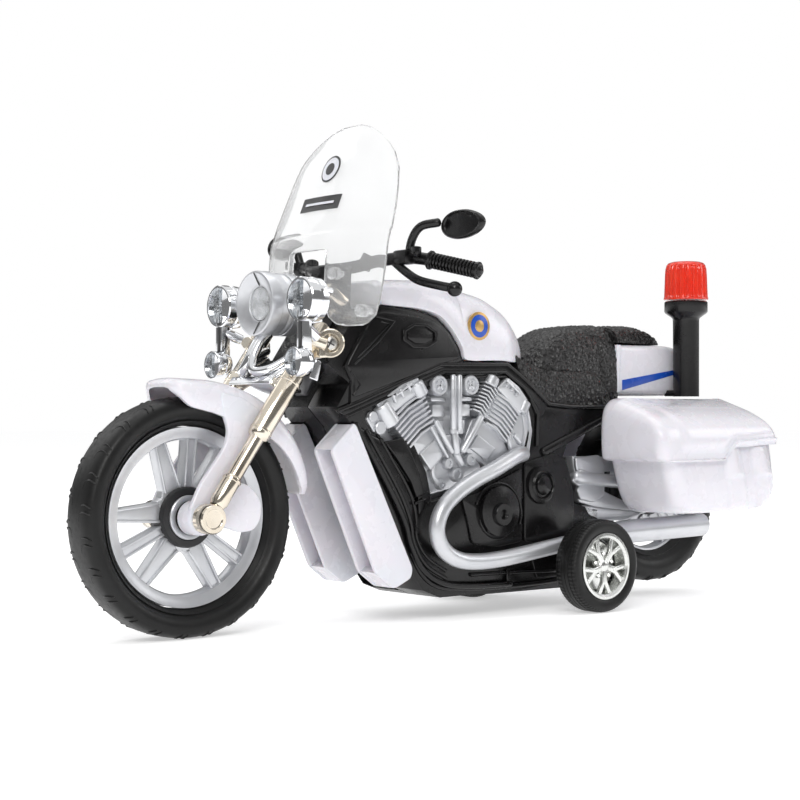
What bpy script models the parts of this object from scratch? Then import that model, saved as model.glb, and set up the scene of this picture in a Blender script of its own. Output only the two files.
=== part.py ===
"""Pull-back toy patrol motorcycle, about 1:12, built as separate pieces.

Metres, +X is the way it drives, +Y is the rider's left, +Z is up. The origin lies on the ground
under the middle of the model. Outlines are written in millimetres and scaled by MM.
"""

import math

import bmesh
import bpy
from mathutils import Vector

MM = 0.001
GAP = 0.3                                   # play left between neighbouring pieces

# Wheels
FRONT_AXLE = (76.6, 27.5)                   # x, z
FRONT_TYRE_R = 27.5
REAR_AXLE = (-78.4, 29.6)                   # the rear tyre hangs clear of the ground
REAR_TYRE_R = 25.7
TYRE_HALF = 5.4
FRONT_RIM_R = 20.6
REAR_RIM_R = 19.0
RIM_HALF = 2.6
PIN_R = 1.3
DRIVE_AXLE = (-33.9, 12.0)                  # axle of the two small driven wheels
DRIVE_TYRE_R = 12.0
DRIVE_RIM_R = 8.4
DRIVE_WHEEL_Y = (20.6, 28.2)
DRIVE_AXLE_R = 1.0

# Steering axis: raked line through HEAD, running down and forward along RAKE_DIR
HEAD = (38.0, 68.0)
RAKE = math.radians(35.0)
RAKE_DIR = (math.sin(RAKE), -math.cos(RAKE))
BUSH_HALF = 7.4
BUSH_R = 4.5
STEM_R = 2.0

# Body
FRAME_Y = 12.0
WALL = 2.6
SPLIT = 0.15                                # half the seam between left and right halves
FRAME_BACK = -47.0
TANK_HALF = 13.2
SEAT_HALF = 12.0
COWL_HALF = 10.8
SHROUD_Y = (6.2, 14.0)
SCREW_SPOTS = ((4.0, 19.0), (-34.5, 48.6), (17.0, 68.5))

# Front end
LEG_Y = 11.3
LEG_R = 2.35
LUG = (42.8, 67.6)
LUG_R = 4.0
LUG_Y = (13.4, 16.2)
LUG_HEAD_R = 2.2
LAMP_Y = 16.8
HEADLIGHT = (55.0, 77.2)
HEADLIGHT_R = 7.8
SHIELD_BEND_R = 50.0
SHIELD_T = 1.2
BAR_R = 1.5

# Saddlebags and beacon
BAG_Y = (15.4, 38.6)
BAG_X = (-45.0, -91.0)
BEACON = (-79.8, 14.9)                      # x, y of the pole
BEACON_BASE_Z = 57.9
COLLAR_Z = 79.7
LENS_Z = (83.2, 94.0)
LENS_R = 6.2

# Pull-back motor
CASE_X = (-43.5, -9.5)
CASE_Z = (4.9, 22.6)
CASE_Y = 8.8
CASE_WALL = 1.5
MODULE = 0.5
PINION_TEETH = 8
WHEEL_TEETH = 20
GEAR_DISTANCE = MODULE * (PINION_TEETH + WHEEL_TEETH) / 2 + 0.15
GEAR_TILT = math.radians(13.0)              # direction from the drive axle to the middle gear
MIDDLE_PIN = (DRIVE_AXLE[0] + GEAR_DISTANCE * math.cos(GEAR_TILT),
              DRIVE_AXLE[1] + GEAR_DISTANCE * math.sin(GEAR_TILT))
SPRING_PIN = (MIDDLE_PIN[0] + GEAR_DISTANCE, MIDDLE_PIN[1])
PLANE_A = (3.0, 5.0)
PLANE_B = (-0.6, 1.0)
GEAR_PIN_R = 0.8
DRUM_R = 4.6

WHITE = ("white_plastic", (0.86, 0.85, 0.90), 0.25, 0.0)
BLACK = ("black_plastic", (0.012, 0.012, 0.013), 0.22, 0.0)
GREY = ("dark_grey_plastic", (0.07, 0.07, 0.075), 0.4, 0.0)
SILVER = ("silver_paint", (0.62, 0.63, 0.65), 0.35, 0.7)
NICKEL = ("nickel_plate", (0.80, 0.74, 0.66), 0.15, 1.0)
CHROME = ("chrome_plate", (0.85, 0.86, 0.88), 0.10, 1.0)
STEEL = ("steel", (0.55, 0.55, 0.56), 0.3, 1.0)
RUBBER = ("tyre_rubber", (0.02, 0.02, 0.021), 0.6, 0.0)
CLEAR = ("clear_plastic", (0.90, 0.93, 0.95), 0.05, 0.0)
RED = ("red_clear_plastic", (0.85, 0.03, 0.02), 0.15, 0.0)
LEATHER = ("grained_seat_plastic", (0.02, 0.02, 0.02), 0.45, 0.0)
NYLON = ("natural_nylon", (0.75, 0.73, 0.66), 0.45, 0.0)

materials = {}


# ---------------------------------------------------------------- scene and materials

def fresh_collection(name):
    old = bpy.data.collections.get(name)
    if old:
        bpy.data.collections.remove(old)
    collection = bpy.data.collections.new(name)
    bpy.context.scene.collection.children.link(collection)
    return collection


for leftover in list(bpy.data.objects):
    bpy.data.objects.remove(leftover, do_unlink=True)
PARTS = fresh_collection("toy_motorcycle")
CUTTERS = fresh_collection("cutters")


def material(look):
    name, colour, roughness, metallic = look
    if name not in materials:
        made = bpy.data.materials.new(name)
        made.use_nodes = True
        shader = made.node_tree.nodes["Principled BSDF"]
        shader.inputs["Base Color"].default_value = (*colour, 1.0)
        shader.inputs["Roughness"].default_value = roughness
        shader.inputs["Metallic"].default_value = metallic
        materials[name] = made
    return materials[name]


def finish(obj, look):
    """Puts a piece in the parts collection with its material, shaded smooth with sharp edges."""
    PARTS.objects.link(obj)
    obj.data.materials.append(material(look))
    if obj.type == "MESH":
        obj.data.shade_smooth()
        obj.data.set_sharp_from_angle(angle=math.radians(35))
    return obj


def hide_tool(obj):
    """Marks a shape that only cuts or joins another."""
    for holder in list(obj.users_collection):
        holder.objects.unlink(obj)
    CUTTERS.objects.link(obj)
    obj.hide_render = True
    obj.display_type = "WIRE"
    return obj


def combine(obj, tools, operation):
    """Adds one exact Boolean modifier for each tool."""
    for tool in tools:
        hide_tool(tool)
        modifier = obj.modifiers.new(tool.name, "BOOLEAN")
        modifier.operation = operation
        modifier.solver = "EXACT"
        modifier.object = tool
    return obj


def cut(obj, *tools):
    return combine(obj, tools, "DIFFERENCE")


def join(obj, *tools):
    return combine(obj, tools, "UNION")


# ---------------------------------------------------------------- shapes

def mesh_object(name, shape):
    """Turns a bmesh in millimetres into an object in metres."""
    bmesh.ops.scale(shape, vec=(MM, MM, MM), verts=shape.verts)
    mesh = bpy.data.meshes.new(name)
    shape.to_mesh(mesh)
    shape.free()
    return bpy.data.objects.new(name, mesh)


def box(name, low, high, turn=0.0):
    """A block from its corners, turned about +Y through its middle."""
    shape = bmesh.new()
    bmesh.ops.create_cube(shape, size=1.0)
    size = [b - a for a, b in zip(low, high)]
    bmesh.ops.scale(shape, vec=size, verts=shape.verts)
    obj = mesh_object(name, shape)
    obj.location = [(a + b) / 2 * MM for a, b in zip(low, high)]
    obj.rotation_euler = (0, turn, 0)
    return obj


def rod(name, start, end, radius, sides=20, radius_end=None):
    """A cylinder or cone between two points."""
    start, end = Vector(start), Vector(end)
    along = end - start
    shape = bmesh.new()
    bmesh.ops.create_cone(shape, cap_ends=True, segments=sides, radius1=radius,
                          radius2=radius if radius_end is None else radius_end, depth=along.length)
    bmesh.ops.rotate(shape, cent=(0, 0, 0), verts=shape.verts,
                     matrix=Vector((0, 0, 1)).rotation_difference(along).to_matrix())
    obj = mesh_object(name, shape)
    obj.location = (start + end) / 2 * MM
    return obj


def pin_along_y(name, spot, y_low, y_high, radius, sides=20):
    return rod(name, (spot[0], y_low, spot[1]), (spot[0], y_high, spot[1]), radius, sides)


def turned(name, profile, place, axis, steps=32, closed=False):
    """A turned piece: profile points are (radius, height along axis), outer side from top down."""
    mesh = bpy.data.meshes.new(name)
    count = len(profile)
    edges = [(i, i + 1) for i in range(count - 1)] + ([(count - 1, 0)] if closed else [])
    mesh.from_pydata([(r * MM, 0, h * MM) for r, h in profile], edges, [])
    obj = bpy.data.objects.new(name, mesh)
    screw = obj.modifiers.new("turn", "SCREW")
    screw.steps = screw.render_steps = steps
    screw.use_merge_vertices = True
    screw.merge_threshold = 0.00001
    obj.rotation_mode = "QUATERNION"
    obj.rotation_quaternion = Vector((0, 0, 1)).rotation_difference(Vector(axis))
    obj.location = [c * MM for c in place]
    return obj


def to_mesh(obj):
    """Replaces a curve by its welded mesh, so that it can be cut or joined."""
    PARTS.objects.link(obj)
    bpy.context.view_layer.update()
    mesh = bpy.data.meshes.new_from_object(obj.evaluated_get(bpy.context.evaluated_depsgraph_get()))
    shape = bmesh.new()
    shape.from_mesh(mesh)
    bmesh.ops.remove_doubles(shape, verts=shape.verts, dist=0.000002)
    bmesh.ops.recalc_face_normals(shape, faces=shape.faces)
    shape.to_mesh(mesh)
    shape.free()
    made = bpy.data.objects.new(obj.name, mesh)
    made.matrix_world = obj.matrix_world.copy()
    name = obj.name
    bpy.data.objects.remove(obj, do_unlink=True)
    made.name = name
    return made


def plate(name, outline, y_low, y_high, holes=()):
    """A flat outline in the XZ plane, given a thickness along Y."""
    curve = bpy.data.curves.new(name, "CURVE")
    curve.dimensions = "2D"
    curve.fill_mode = "BOTH"
    curve.extrude = abs(y_high - y_low) / 2 * MM
    for loop in (outline, *holes):
        spline = curve.splines.new("POLY")
        spline.points.add(len(loop) - 1)
        for point, (x, z) in zip(spline.points, loop):
            point.co = (x * MM, z * MM, 0, 1)
        spline.use_cyclic_u = True
    obj = bpy.data.objects.new(name, curve)
    obj.rotation_euler = (math.pi / 2, 0, 0)
    obj.location = (0, (y_low + y_high) / 2 * MM, 0)
    return to_mesh(obj)


def tube(name, points, radius, swell=None, detail=2):
    """A round bar along points; swell gives a radius factor for each point."""
    curve = bpy.data.curves.new(name, "CURVE")
    curve.dimensions = "3D"
    curve.bevel_depth = radius * MM
    curve.bevel_resolution = detail
    curve.use_fill_caps = True
    spline = curve.splines.new("POLY")
    spline.points.add(len(points) - 1)
    for i, (point, co) in enumerate(zip(spline.points, points)):
        point.co = (*[c * MM for c in co], 1)
        point.radius = swell[i] if swell else 1.0
    return to_mesh(bpy.data.objects.new(name, curve))


def smooth_path(points, per_span=4):
    """Catmull-Rom points through the given ones."""
    pts = [Vector(p) for p in points]
    ends = [2 * pts[0] - pts[1], *pts, 2 * pts[-1] - pts[-2]]
    path = []
    for i in range(1, len(ends) - 2):
        a, b, c, d = ends[i - 1:i + 3]
        for k in range(per_span):
            t = k / per_span
            path.append(0.5 * (2 * b + (c - a) * t + (2 * a - 5 * b + 4 * c - d) * t ** 2
                               + (3 * b - a - 3 * c + d) * t ** 3))
    path.append(pts[-1])
    return path


def loft(name, rings):
    """A closed solid through rings of equal length."""
    shape = bmesh.new()
    rows = [[shape.verts.new(p) for p in ring] for ring in rings]
    count = len(rings[0])
    for low, high in zip(rows, rows[1:]):
        for i in range(count):
            j = (i + 1) % count
            shape.faces.new((low[i], low[j], high[j], high[i]))
    shape.faces.new(rows[0][::-1])
    shape.faces.new(rows[-1])
    bmesh.ops.recalc_face_normals(shape, faces=shape.faces)
    return mesh_object(name, shape)


def arc(centre, radius, start, end, count):
    """Points on an arc, angles in degrees."""
    steps = [math.radians(start + (end - start) * i / (count - 1)) for i in range(count)]
    return [(centre[0] + radius * math.cos(a), centre[1] + radius * math.sin(a)) for a in steps]


def circle(centre, radius, count=16):
    return arc(centre, radius, 0, 360 * (count - 1) / count, count)


def inset(outline, distance):
    """Moves every edge of a counter-clockwise outline inwards."""
    result = []
    count = len(outline)
    for i in range(count):
        before, here, after = (Vector(outline[(i + k) % count]) for k in (-1, 0, 1))
        first, second = (here - before).normalized(), (after - here).normalized()
        normal_a, normal_b = Vector((-first.y, first.x)), Vector((-second.y, second.x))
        middle = (normal_a + normal_b).normalized()
        result.append(tuple(here + middle * distance / max(0.4, middle.dot(normal_a))))
    return result


def on_rake(along, offset):
    """x, z of a point by its distance along the steering axis and in front of it."""
    return (HEAD[0] + along * RAKE_DIR[0] - offset * RAKE_DIR[1],
            HEAD[1] + along * RAKE_DIR[1] + offset * RAKE_DIR[0])


def rake_point(along, offset, y):
    x, z = on_rake(along, offset)
    return (x, y, z)


def rake_box(low, high, back, front, half):
    """Corners of a block square to the steering axis, before it is turned by the rake."""
    x, z = on_rake((low + high) / 2, (back + front) / 2)
    long, tall = (front - back) / 2, (high - low) / 2
    return (x - long, -half, z - tall), (x + long, half, z + tall)


# ---------------------------------------------------------------- frame

FRAME_OUTLINE = [
    (FRAME_BACK, 8.0), (-31.0, 6.6), (-18.0, 5.7), (9.0, 5.5), (14.5, 7.6), (18.4, 12.8),
    (36.2, 48.0), on_rake(14.2, -6.2), on_rake(7.6, -6.0), on_rake(7.6, 2.0), on_rake(-7.6, 2.0),
    (30.0, 77.2), (27.0, 77.2), (16.5, 76.6), (10.0, 75.1), (5.7, 71.7), (2.5, 67.5), (0.9, 64.2),
    (-14.3, 64.2), (-21.8, 59.2), (-28.3, 53.4), (-56.0, 53.4), (-56.0, 49.5), (-36.5, 45.6),
    (-34.0, 40.0), (-37.0, 34.0), (-38.0, 27.4), (FRAME_BACK, 25.4)]
ENGINE_WINDOW = [
    (29.0, 46.0), (9.0, 60.2), (-13.0, 60.8), (-19.0, 57.0), (-22.5, 50.0), (-20.0, 42.5),
    (-10.0, 37.0), (3.0, 31.5), (12.0, 29.5), (19.5, 35.0)]
COVER_OUTLINE = [
    (37.6, 53.6), (37.4, 59.0), (39.6, 62.4), (32.0, 74.0), (28.0, 76.4), (16.5, 75.6), (10.4, 74.2),
    (6.4, 71.0), (3.6, 67.3), (2.6, 64.6), (9.0, 62.6)]
CLUTCH = (-9.5, 26.4)
SPROCKET = (-24.8, 32.7)


def frame_half(name, side):
    """Left or right body shell with its side cover, engine window and screw posts."""
    def span(low, high):
        return (min(side * low, side * high), max(side * low, side * high))

    frame = plate(name, FRAME_OUTLINE, *span(SPLIT, FRAME_Y))
    cut(frame, plate(name + "_cavity", inset(FRAME_OUTLINE, 2.0), *span(-1.0, FRAME_Y - WALL)),
        plate(name + "_window", ENGINE_WINDOW, *span(-1.0, FRAME_Y + 2.0)))
    join(frame, plate(name + "_cover", COVER_OUTLINE, *span(FRAME_Y - 0.8, FRAME_Y + 0.7)),
         rod(name + "_clutch", (CLUTCH[0], side * (FRAME_Y - 0.8), CLUTCH[1]),
             (CLUTCH[0], side * (FRAME_Y + 2.4), CLUTCH[1]), 6.4, 24),
         rod(name + "_sprocket", (SPROCKET[0], side * (FRAME_Y - 0.8), SPROCKET[1]),
             (SPROCKET[0], side * (FRAME_Y + 1.6), SPROCKET[1]), 4.8, 20))
    for i, spot in enumerate(SCREW_SPOTS):
        join(frame, pin_along_y(f"{name}_post_{i}", spot, *span(SPLIT, FRAME_Y - 1.0), 2.4, 12))
        blind = FRAME_Y + 3.0 if side < 0 else FRAME_Y - 2.5
        cut(frame, pin_along_y(f"{name}_screw_hole_{i}", spot, *span(-1.0, blind), 1.1, 12))
        if side < 0:
            cut(frame, pin_along_y(f"{name}_head_hole_{i}", spot, *span(FRAME_Y - 1.2, FRAME_Y + 3),
                                   2.1, 16))
    cut(frame,
        box(name + "_motor_slot", (CASE_X[0] - GAP, -CASE_Y - GAP, 0.0),
            (CASE_X[1] + GAP, CASE_Y + GAP, 10.0)),
        pin_along_y(name + "_axle_hole", DRIVE_AXLE, -20.0, 20.0, DRIVE_AXLE_R + GAP, 16),
        rod(name + "_bush_seat", rake_point(-14.0, 0, 0), rake_point(14.0, 0, 0), BUSH_R + GAP, 20),
        box(name + "_clamp_room", *rake_box(-12.8, -7.8, -4.6, 12.0, 8.4), -RAKE))
    return finish(frame, BLACK)


def frame_screw(name, spot):
    """Self-tapping screw driven from the right, its head sunk in the shell."""
    screw = pin_along_y(name, spot, -FRAME_Y + 1.4, 7.0, 0.8, 10)
    join(screw, pin_along_y(name + "_head", spot, -FRAME_Y + 0.1, -FRAME_Y + 1.0 + 0.1, 1.8, 16),
         pin_along_y(name + "_neck", spot, -FRAME_Y + 0.6, -FRAME_Y + 2.4, 0.8, 10))
    return finish(screw, STEEL)


# ---------------------------------------------------------------- tank, seat, tail cowl

def arch_ring(x, half, low, high, square=0.62, count=9):
    """A cross-section with a flat bottom and a rounded top."""
    ring = []
    for i in range(count):
        a = math.pi * i / (count - 1)
        c, s = math.cos(a), math.sin(a)
        ring.append((x, half * math.copysign(abs(c) ** square, c), low + (high - low) * abs(s) ** square))
    return ring


def tank_shell():
    stations = [(27.2, 8.5, 78.0, 83.2), (25.6, 11.0, 77.6, 84.2), (16.5, TANK_HALF, 77.0, 84.8),
                (10.0, TANK_HALF, 75.5, 84.7), (5.7, TANK_HALF, 72.1, 84.4),
                (2.5, TANK_HALF, 67.9, 84.0), (0.9, TANK_HALF, 64.6, 83.8),
                (-8.0, TANK_HALF, 64.6, 82.2), (-14.5, 12.8, 64.6, 80.0),
                (-21.6, 12.2, 59.9, 76.4), (-27.0, 9.5, 65.5, 72.8), (-29.4, 7.0, 68.0, 70.6)]
    return finish(loft("tank_shell", [arch_ring(*s) for s in stations]), WHITE)


def seat():
    stations = [(-23.0, 11.6, 58.3, 60.0), (-28.4, SEAT_HALF, 53.8, 63.2), (-31.8, SEAT_HALF, 53.8, 66.6),
                (-35.4, SEAT_HALF, 53.8, 66.9), (-39.2, SEAT_HALF, 53.8, 69.6),
                (-44.9, SEAT_HALF, 53.8, 73.6), (-52.7, SEAT_HALF, 53.8, 75.2),
                (-55.6, 11.4, 53.8, 75.6), (-56.2, 9.6, 70.9, 75.7), (-66.0, 9.2, 70.9, 75.5),
                (-72.5, 8.0, 70.9, 74.0), (-77.0, 5.6, 70.9, 72.2)]
    return finish(loft("seat", [arch_ring(*s) for s in stations]), LEATHER)


def tail_cowl():
    """White seat cowl over the rear tyre, open underneath."""
    outline = [(-56.2, 56.4), (-56.2, 70.5), (-78.0, 70.5), (-85.0, 69.2), (-89.5, 66.0),
               (-91.0, 61.0), (-90.0, 56.6)]
    cowl = plate("tail_cowl", outline[::-1], -COWL_HALF, COWL_HALF)
    hollow = plate("tail_cowl_hollow", [(-58.0, 50.0), (-88.6, 50.0), (-88.6, 64.0), (-84.0, 67.2),
                                        (-58.0, 68.6)][::-1], -COWL_HALF + 1.8, COWL_HALF - 1.8)
    return finish(cut(cowl, hollow), WHITE)


# ---------------------------------------------------------------- engine, exhaust, shroud

def engine_half(name, side):
    """Silver relief of one side of the V-twin, filling the window from inside."""
    def span(low, high):
        return (min(side * low, side * high), max(side * low, side * high))

    base = plate(name, [(31.0, 45.4), (10.0, 61.9), (-13.6, 61.6), (-20.0, 56.8), (-24.0, 50.0),
                        (-21.6, 41.0), (-11.0, 35.0), (3.0, 29.6), (13.0, 27.8), (22.0, 34.0)][::-1],
                 *span(6.6, FRAME_Y - WALL - GAP))
    front = [(26.5, 46.0), (13.5, 56.6), (3.4, 45.6), (7.0, 33.0), (14.0, 31.6)]
    rear = [(0.8, 45.6), (-7.4, 58.6), (-19.0, 54.6), (-20.4, 47.6), (-6.6, 37.4), (0.6, 36.8)]
    stack = [(2.8, 35.6), (2.8, 59.4), (1.2, 59.4), (1.2, 35.6)]
    join(base, plate(name + "_front_cylinder", front, *span(8.0, 13.4)),
         plate(name + "_rear_cylinder", rear[::-1], *span(8.0, 13.0)),
         plate(name + "_pushrods", stack, *span(8.0, 14.2)))
    return finish(base, SILVER)


def exhaust(name, side):
    """Header pipe, bend under the engine and straight silencer."""
    route = [(-19.0, 15.4, 41.0), (-10.0, 16.4, 39.2), (2.0, 17.0, 34.8), (12.0, 17.2, 30.2),
             (16.4, 17.2, 24.6), (13.4, 17.2, 18.0), (5.0, 17.2, 14.2), (-8.0, 17.0, 14.2),
             (-24.0, 16.8, 16.2), (-42.0, 16.8, 18.8), (-50.0, 18.0, 19.6), (-66.0, 19.6, 20.4),
             (-81.0, 19.8, 20.6)]
    path = [(p.x, side * p.y, p.z) for p in smooth_path(route, 2)]
    last = len(path) - 1
    swell = [1.24 if i >= last - 5 else 1.0 for i in range(last + 1)]
    return finish(tube(name, path, 2.5, swell), SILVER)


def radiator_shroud(name, side):
    """White duct box, open to the front, beside the down tube."""
    low, high = sorted((side * SHROUD_Y[0], side * SHROUD_Y[1]))
    outline = [(44.0, 42.8), (37.4, 48.8), (36.9, 48.0), (19.6, 13.4), (20.0, 11.4), (25.0, 9.4),
               (30.2, 13.0)]
    shroud = plate(name, outline, low, high)
    hollow = [(46.0, 42.4), (41.9, 42.4), (38.5, 44.0), (23.4, 14.0), (29.4, 13.9), (33.0, 13.9)]
    return finish(cut(shroud, plate(name + "_duct", hollow, low + 1.4, high - 1.4)), WHITE)


# ---------------------------------------------------------------- rear end

def swingarm(name, side):
    low, high = sorted((side * 8.4, side * 11.0))
    outline = [(-38.6, 40.0), (-60.0, 39.4), (-80.0, 33.6), (-82.4, 29.6), (-80.0, 26.0),
               (-60.0, 22.6), (-41.0, 27.6)]
    gap = [(-50.0, 30.6), (-50.0, 35.6), (-60.0, 35.6), (-68.0, 32.6), (-68.0, 28.4), (-60.0, 27.0)]
    arm = plate(name, outline[::-1], low, high, holes=(gap[::-1],))
    return finish(cut(arm, pin_along_y(name + "_axle_hole", REAR_AXLE, -14, 14, PIN_R + GAP, 16)),
                  SILVER)


def bag_ring(z, x_front, x_back, y_in, y_out, side, corner=4.0):
    """A rounded rectangle at height z."""
    ring = []
    spots = [(x_front - corner, y_out - corner, 0), (x_back + corner, y_out - corner, 90),
             (x_back + corner, y_in + corner, 180), (x_front - corner, y_in + corner, 270)]
    for cx, cy, start in spots:
        ring += [(x, side * y, z) for x, y in arc((cx, cy), corner, start, start + 90, 3)]
    return ring


def saddlebag_body(name, side):
    rings = [bag_ring(24.7, -55.0, -85.0, 18.6, 35.0, side, 3.0),
             bag_ring(26.6, -51.5, -89.0, 16.6, 37.2, side),
             bag_ring(33.0, -48.4, BAG_X[1], BAG_Y[0], BAG_Y[1], side),
             bag_ring(41.6, -46.4, -90.4, BAG_Y[0], BAG_Y[1] - 0.6, side)]
    hollow = box(name + "_hollow", (-87.0, min(side * 17.4, side * 36.0), 28.6),
                 (-50.0, max(side * 17.4, side * 36.0), 50.0))
    return finish(cut(loft(name, rings), hollow), WHITE)


def saddlebag_lid(name, side):
    rings = [bag_ring(41.9, -44.6, -91.4, BAG_Y[0], BAG_Y[1] + 0.6, side),
             bag_ring(49.0, -44.4, -90.8, BAG_Y[0], BAG_Y[1] + 0.2, side),
             bag_ring(53.4, -45.8, -88.0, BAG_Y[0], 36.4, side),
             bag_ring(55.6, -49.0, -80.0, BAG_Y[0] + 1.0, 31.0, side)]
    hollow = box(name + "_hollow", (-88.0, min(side * 17.6, side * 36.0), 41.0),
                 (-47.6, max(side * 17.6, side * 36.0), 51.0))
    return finish(cut(loft(name, rings), hollow), WHITE)


def beacon_bracket():
    """Black shelf screwed to the cowl's left side, carrying the pole over the bag."""
    x, y = BEACON
    return finish(box("beacon_bracket", (x - 4.4, COWL_HALF + GAP, 56.0), (x + 4.4, y + 3.8, 57.6)), BLACK)


def beacon():
    x, y = BEACON
    top = COLLAR_Z + 3.2
    pole = turned("beacon_pole", [(0, top), (6.0, top), (6.0, COLLAR_Z), (3.6, COLLAR_Z - 1.8),
                                  (3.4, COLLAR_Z - 2.0), (3.6, BEACON_BASE_Z), (0, BEACON_BASE_Z)],
                  (x, y, 0), (0, 0, 1), 24)
    low, high = LENS_Z
    lens = turned("beacon_lens", [(0, high), (3.6, high), (4.8, high - 1.0), (5.6, high - 3.4), (LENS_R, low),
                                  (4.9, low), (4.6, high - 3.4), (3.6, high - 1.6), (0, high - 1.6)],
                  (x, y, 0), (0, 0, 1), 24)
    return finish(pole, BLACK), finish(lens, RED)


# ---------------------------------------------------------------- wheels

def tyre(name, spot, radius, half, inner, y=0.0, steps=32):
    """A tyre as a closed turned ring with a rounded crown."""
    side_profile = [(inner + GAP, 0.44), (inner + 2.6, 0.94), (radius - 2.3, 1.0), (radius - 0.5, 0.6)]
    if radius < 15:
        side_profile = [(inner + GAP, 0.95), (radius - 0.5, 1.0), (radius, 0.86)]
    upper = [(r, f * half) for r, f in side_profile]
    lower = [(r, -h) for r, h in reversed(upper)]
    crown = [] if radius < 15 else [(radius, 0.0)]
    ring = turned(name, upper + crown + lower, (spot[0], y, spot[1]), (0, 1, 0), steps, closed=True)
    return finish(ring, RUBBER)


def spoke_windows(centre, rim_r, turn):
    """Openings of the big rims: three V spokes and three straight bars between them."""
    windows = []
    outer = rim_r - 2.4
    for k in range(3):
        v = turn + 120 * k
        windows.append(arc(centre, outer, v - 25, v + 25, 5) + arc(centre, 11.0, v + 10, v - 10, 2))
        for way in (1, -1):
            near, far = v + way * 40, v + way * 55
            root = arc(centre, 8.6, v + way * 47, v + way * 24, 2)
            windows.append(arc(centre, outer, near, far, 3) + root)
    return windows


def big_rim(name, spot, rim_r, turn):
    rim = plate(name, circle(spot, rim_r, 32), -RIM_HALF, RIM_HALF,
                holes=spoke_windows(spot, rim_r, turn))
    join(rim, pin_along_y(name + "_hub", spot, -3.3, 3.3, 6.4, 20))
    cut(rim, pin_along_y(name + "_bore", spot, -8, 8, PIN_R + GAP, 12))
    return finish(rim, SILVER)


def drive_wheel(side, label):
    low, high = sorted(side * y for y in DRIVE_WHEEL_Y)
    middle, half = (low + high) / 2, (high - low) / 2
    tyre(f"drive_tyre_{label}", DRIVE_AXLE, DRIVE_TYRE_R, half, DRIVE_RIM_R, middle, 28)
    windows = []
    for k in range(5):
        a = 90 + 72 * k
        windows.append(arc(DRIVE_AXLE, 6.9, a - 22, a + 22, 4) + arc(DRIVE_AXLE, 3.4, a + 10, a - 10, 2))
    rim = plate(f"drive_rim_{label}", circle(DRIVE_AXLE, DRIVE_RIM_R, 24), low + 0.7, high - 0.7,
                holes=windows)
    cut(rim, pin_along_y(f"drive_rim_bore_{label}", DRIVE_AXLE, -40, 40, DRIVE_AXLE_R + GAP, 16))
    return finish(rim, CHROME)


def axle_with_heads(name, spot, half, radius, head_radius, head):
    """A straight pin with a flat round head on each end."""
    pin = pin_along_y(name, spot, -half, half, radius, 16)
    join(pin, *[pin_along_y(f"{name}_head_{i}", spot, *sorted((s * (half - 0.2), s * (half + head))),
                            head_radius, 20) for i, s in enumerate((1, -1))])
    return finish(pin, STEEL)


# ---------------------------------------------------------------- pull-back motor

def gear_outline(centre, teeth, phase):
    """Trapezoid teeth; phase is the direction of one tooth, in radians."""
    pitch = MODULE * teeth / 2
    root, tip = pitch - 0.55, pitch + 0.36
    points = []
    for k in range(teeth):
        a = phase + 2 * math.pi * k / teeth
        for radius, half in ((root, -0.42), (tip, -0.15), (tip, 0.15), (root, 0.42)):
            turn = a + half / radius
            points.append((centre[0] + radius * math.cos(turn), centre[1] + radius * math.sin(turn)))
    return points


def motor_case(name, side):
    low, high = sorted((side * SPLIT, side * CASE_Y))
    inner_low, inner_high = sorted((side * -1.0, side * (CASE_Y - CASE_WALL)))
    case = box(name, (CASE_X[0], low, CASE_Z[0]), (CASE_X[1], high, CASE_Z[1]))
    cut(case, box(name + "_room", (CASE_X[0] + CASE_WALL, inner_low, CASE_Z[0] + CASE_WALL),
                  (CASE_X[1] - CASE_WALL, inner_high, CASE_Z[1] - CASE_WALL)),
        pin_along_y(name + "_axle_hole", DRIVE_AXLE, -20, 20, DRIVE_AXLE_R + GAP, 16),
        pin_along_y(name + "_middle_hole", MIDDLE_PIN, -20, 20, GEAR_PIN_R + GAP, 12),
        pin_along_y(name + "_spring_hole", SPRING_PIN, -20, 20, GEAR_PIN_R + GAP, 12))
    return finish(case, GREY)


def drive_pinion():
    toward = GEAR_TILT
    outline = gear_outline(DRIVE_AXLE, PINION_TEETH, toward)
    pinion = plate("drive_pinion", outline, PLANE_A[0] - 0.4, PLANE_A[1] + 0.4)
    return finish(cut(pinion, pin_along_y("drive_pinion_bore", DRIVE_AXLE, 0, 9, DRIVE_AXLE_R + 0.05, 16)),
                  STEEL)


def middle_gear():
    """Large wheel driven by the axle pinion, with a small pinion for the spring gear."""
    half_tooth = math.pi / WHEEL_TEETH
    wheel = plate("middle_gear", gear_outline(MIDDLE_PIN, WHEEL_TEETH, GEAR_TILT + math.pi + half_tooth),
                  *PLANE_A)
    join(wheel, plate("middle_pinion", gear_outline(MIDDLE_PIN, PINION_TEETH, 0.0),
                      PLANE_B[0] - 0.2, PLANE_A[0] + 0.3))
    cut(wheel, pin_along_y("middle_bore", MIDDLE_PIN, -9, 9, GEAR_PIN_R + GAP, 10))
    return finish(wheel, NYLON)


def spring_gear():
    """Gear with the cup that holds the mainspring."""
    half_tooth = math.pi / WHEEL_TEETH
    gear = plate("spring_gear", gear_outline(SPRING_PIN, WHEEL_TEETH, math.pi + half_tooth), *PLANE_B)
    cup = pin_along_y("spring_cup", SPRING_PIN, -6.4, PLANE_B[0] + 0.4, DRUM_R, 20)
    room = pin_along_y("spring_cup_room", SPRING_PIN, -9.0, PLANE_B[0], DRUM_R - 0.7, 20)
    bore = pin_along_y("spring_gear_bore", SPRING_PIN, -9, 9, GEAR_PIN_R + GAP, 12)
    cut(join(gear, cup), room, bore)
    return finish(gear, NYLON)


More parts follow.
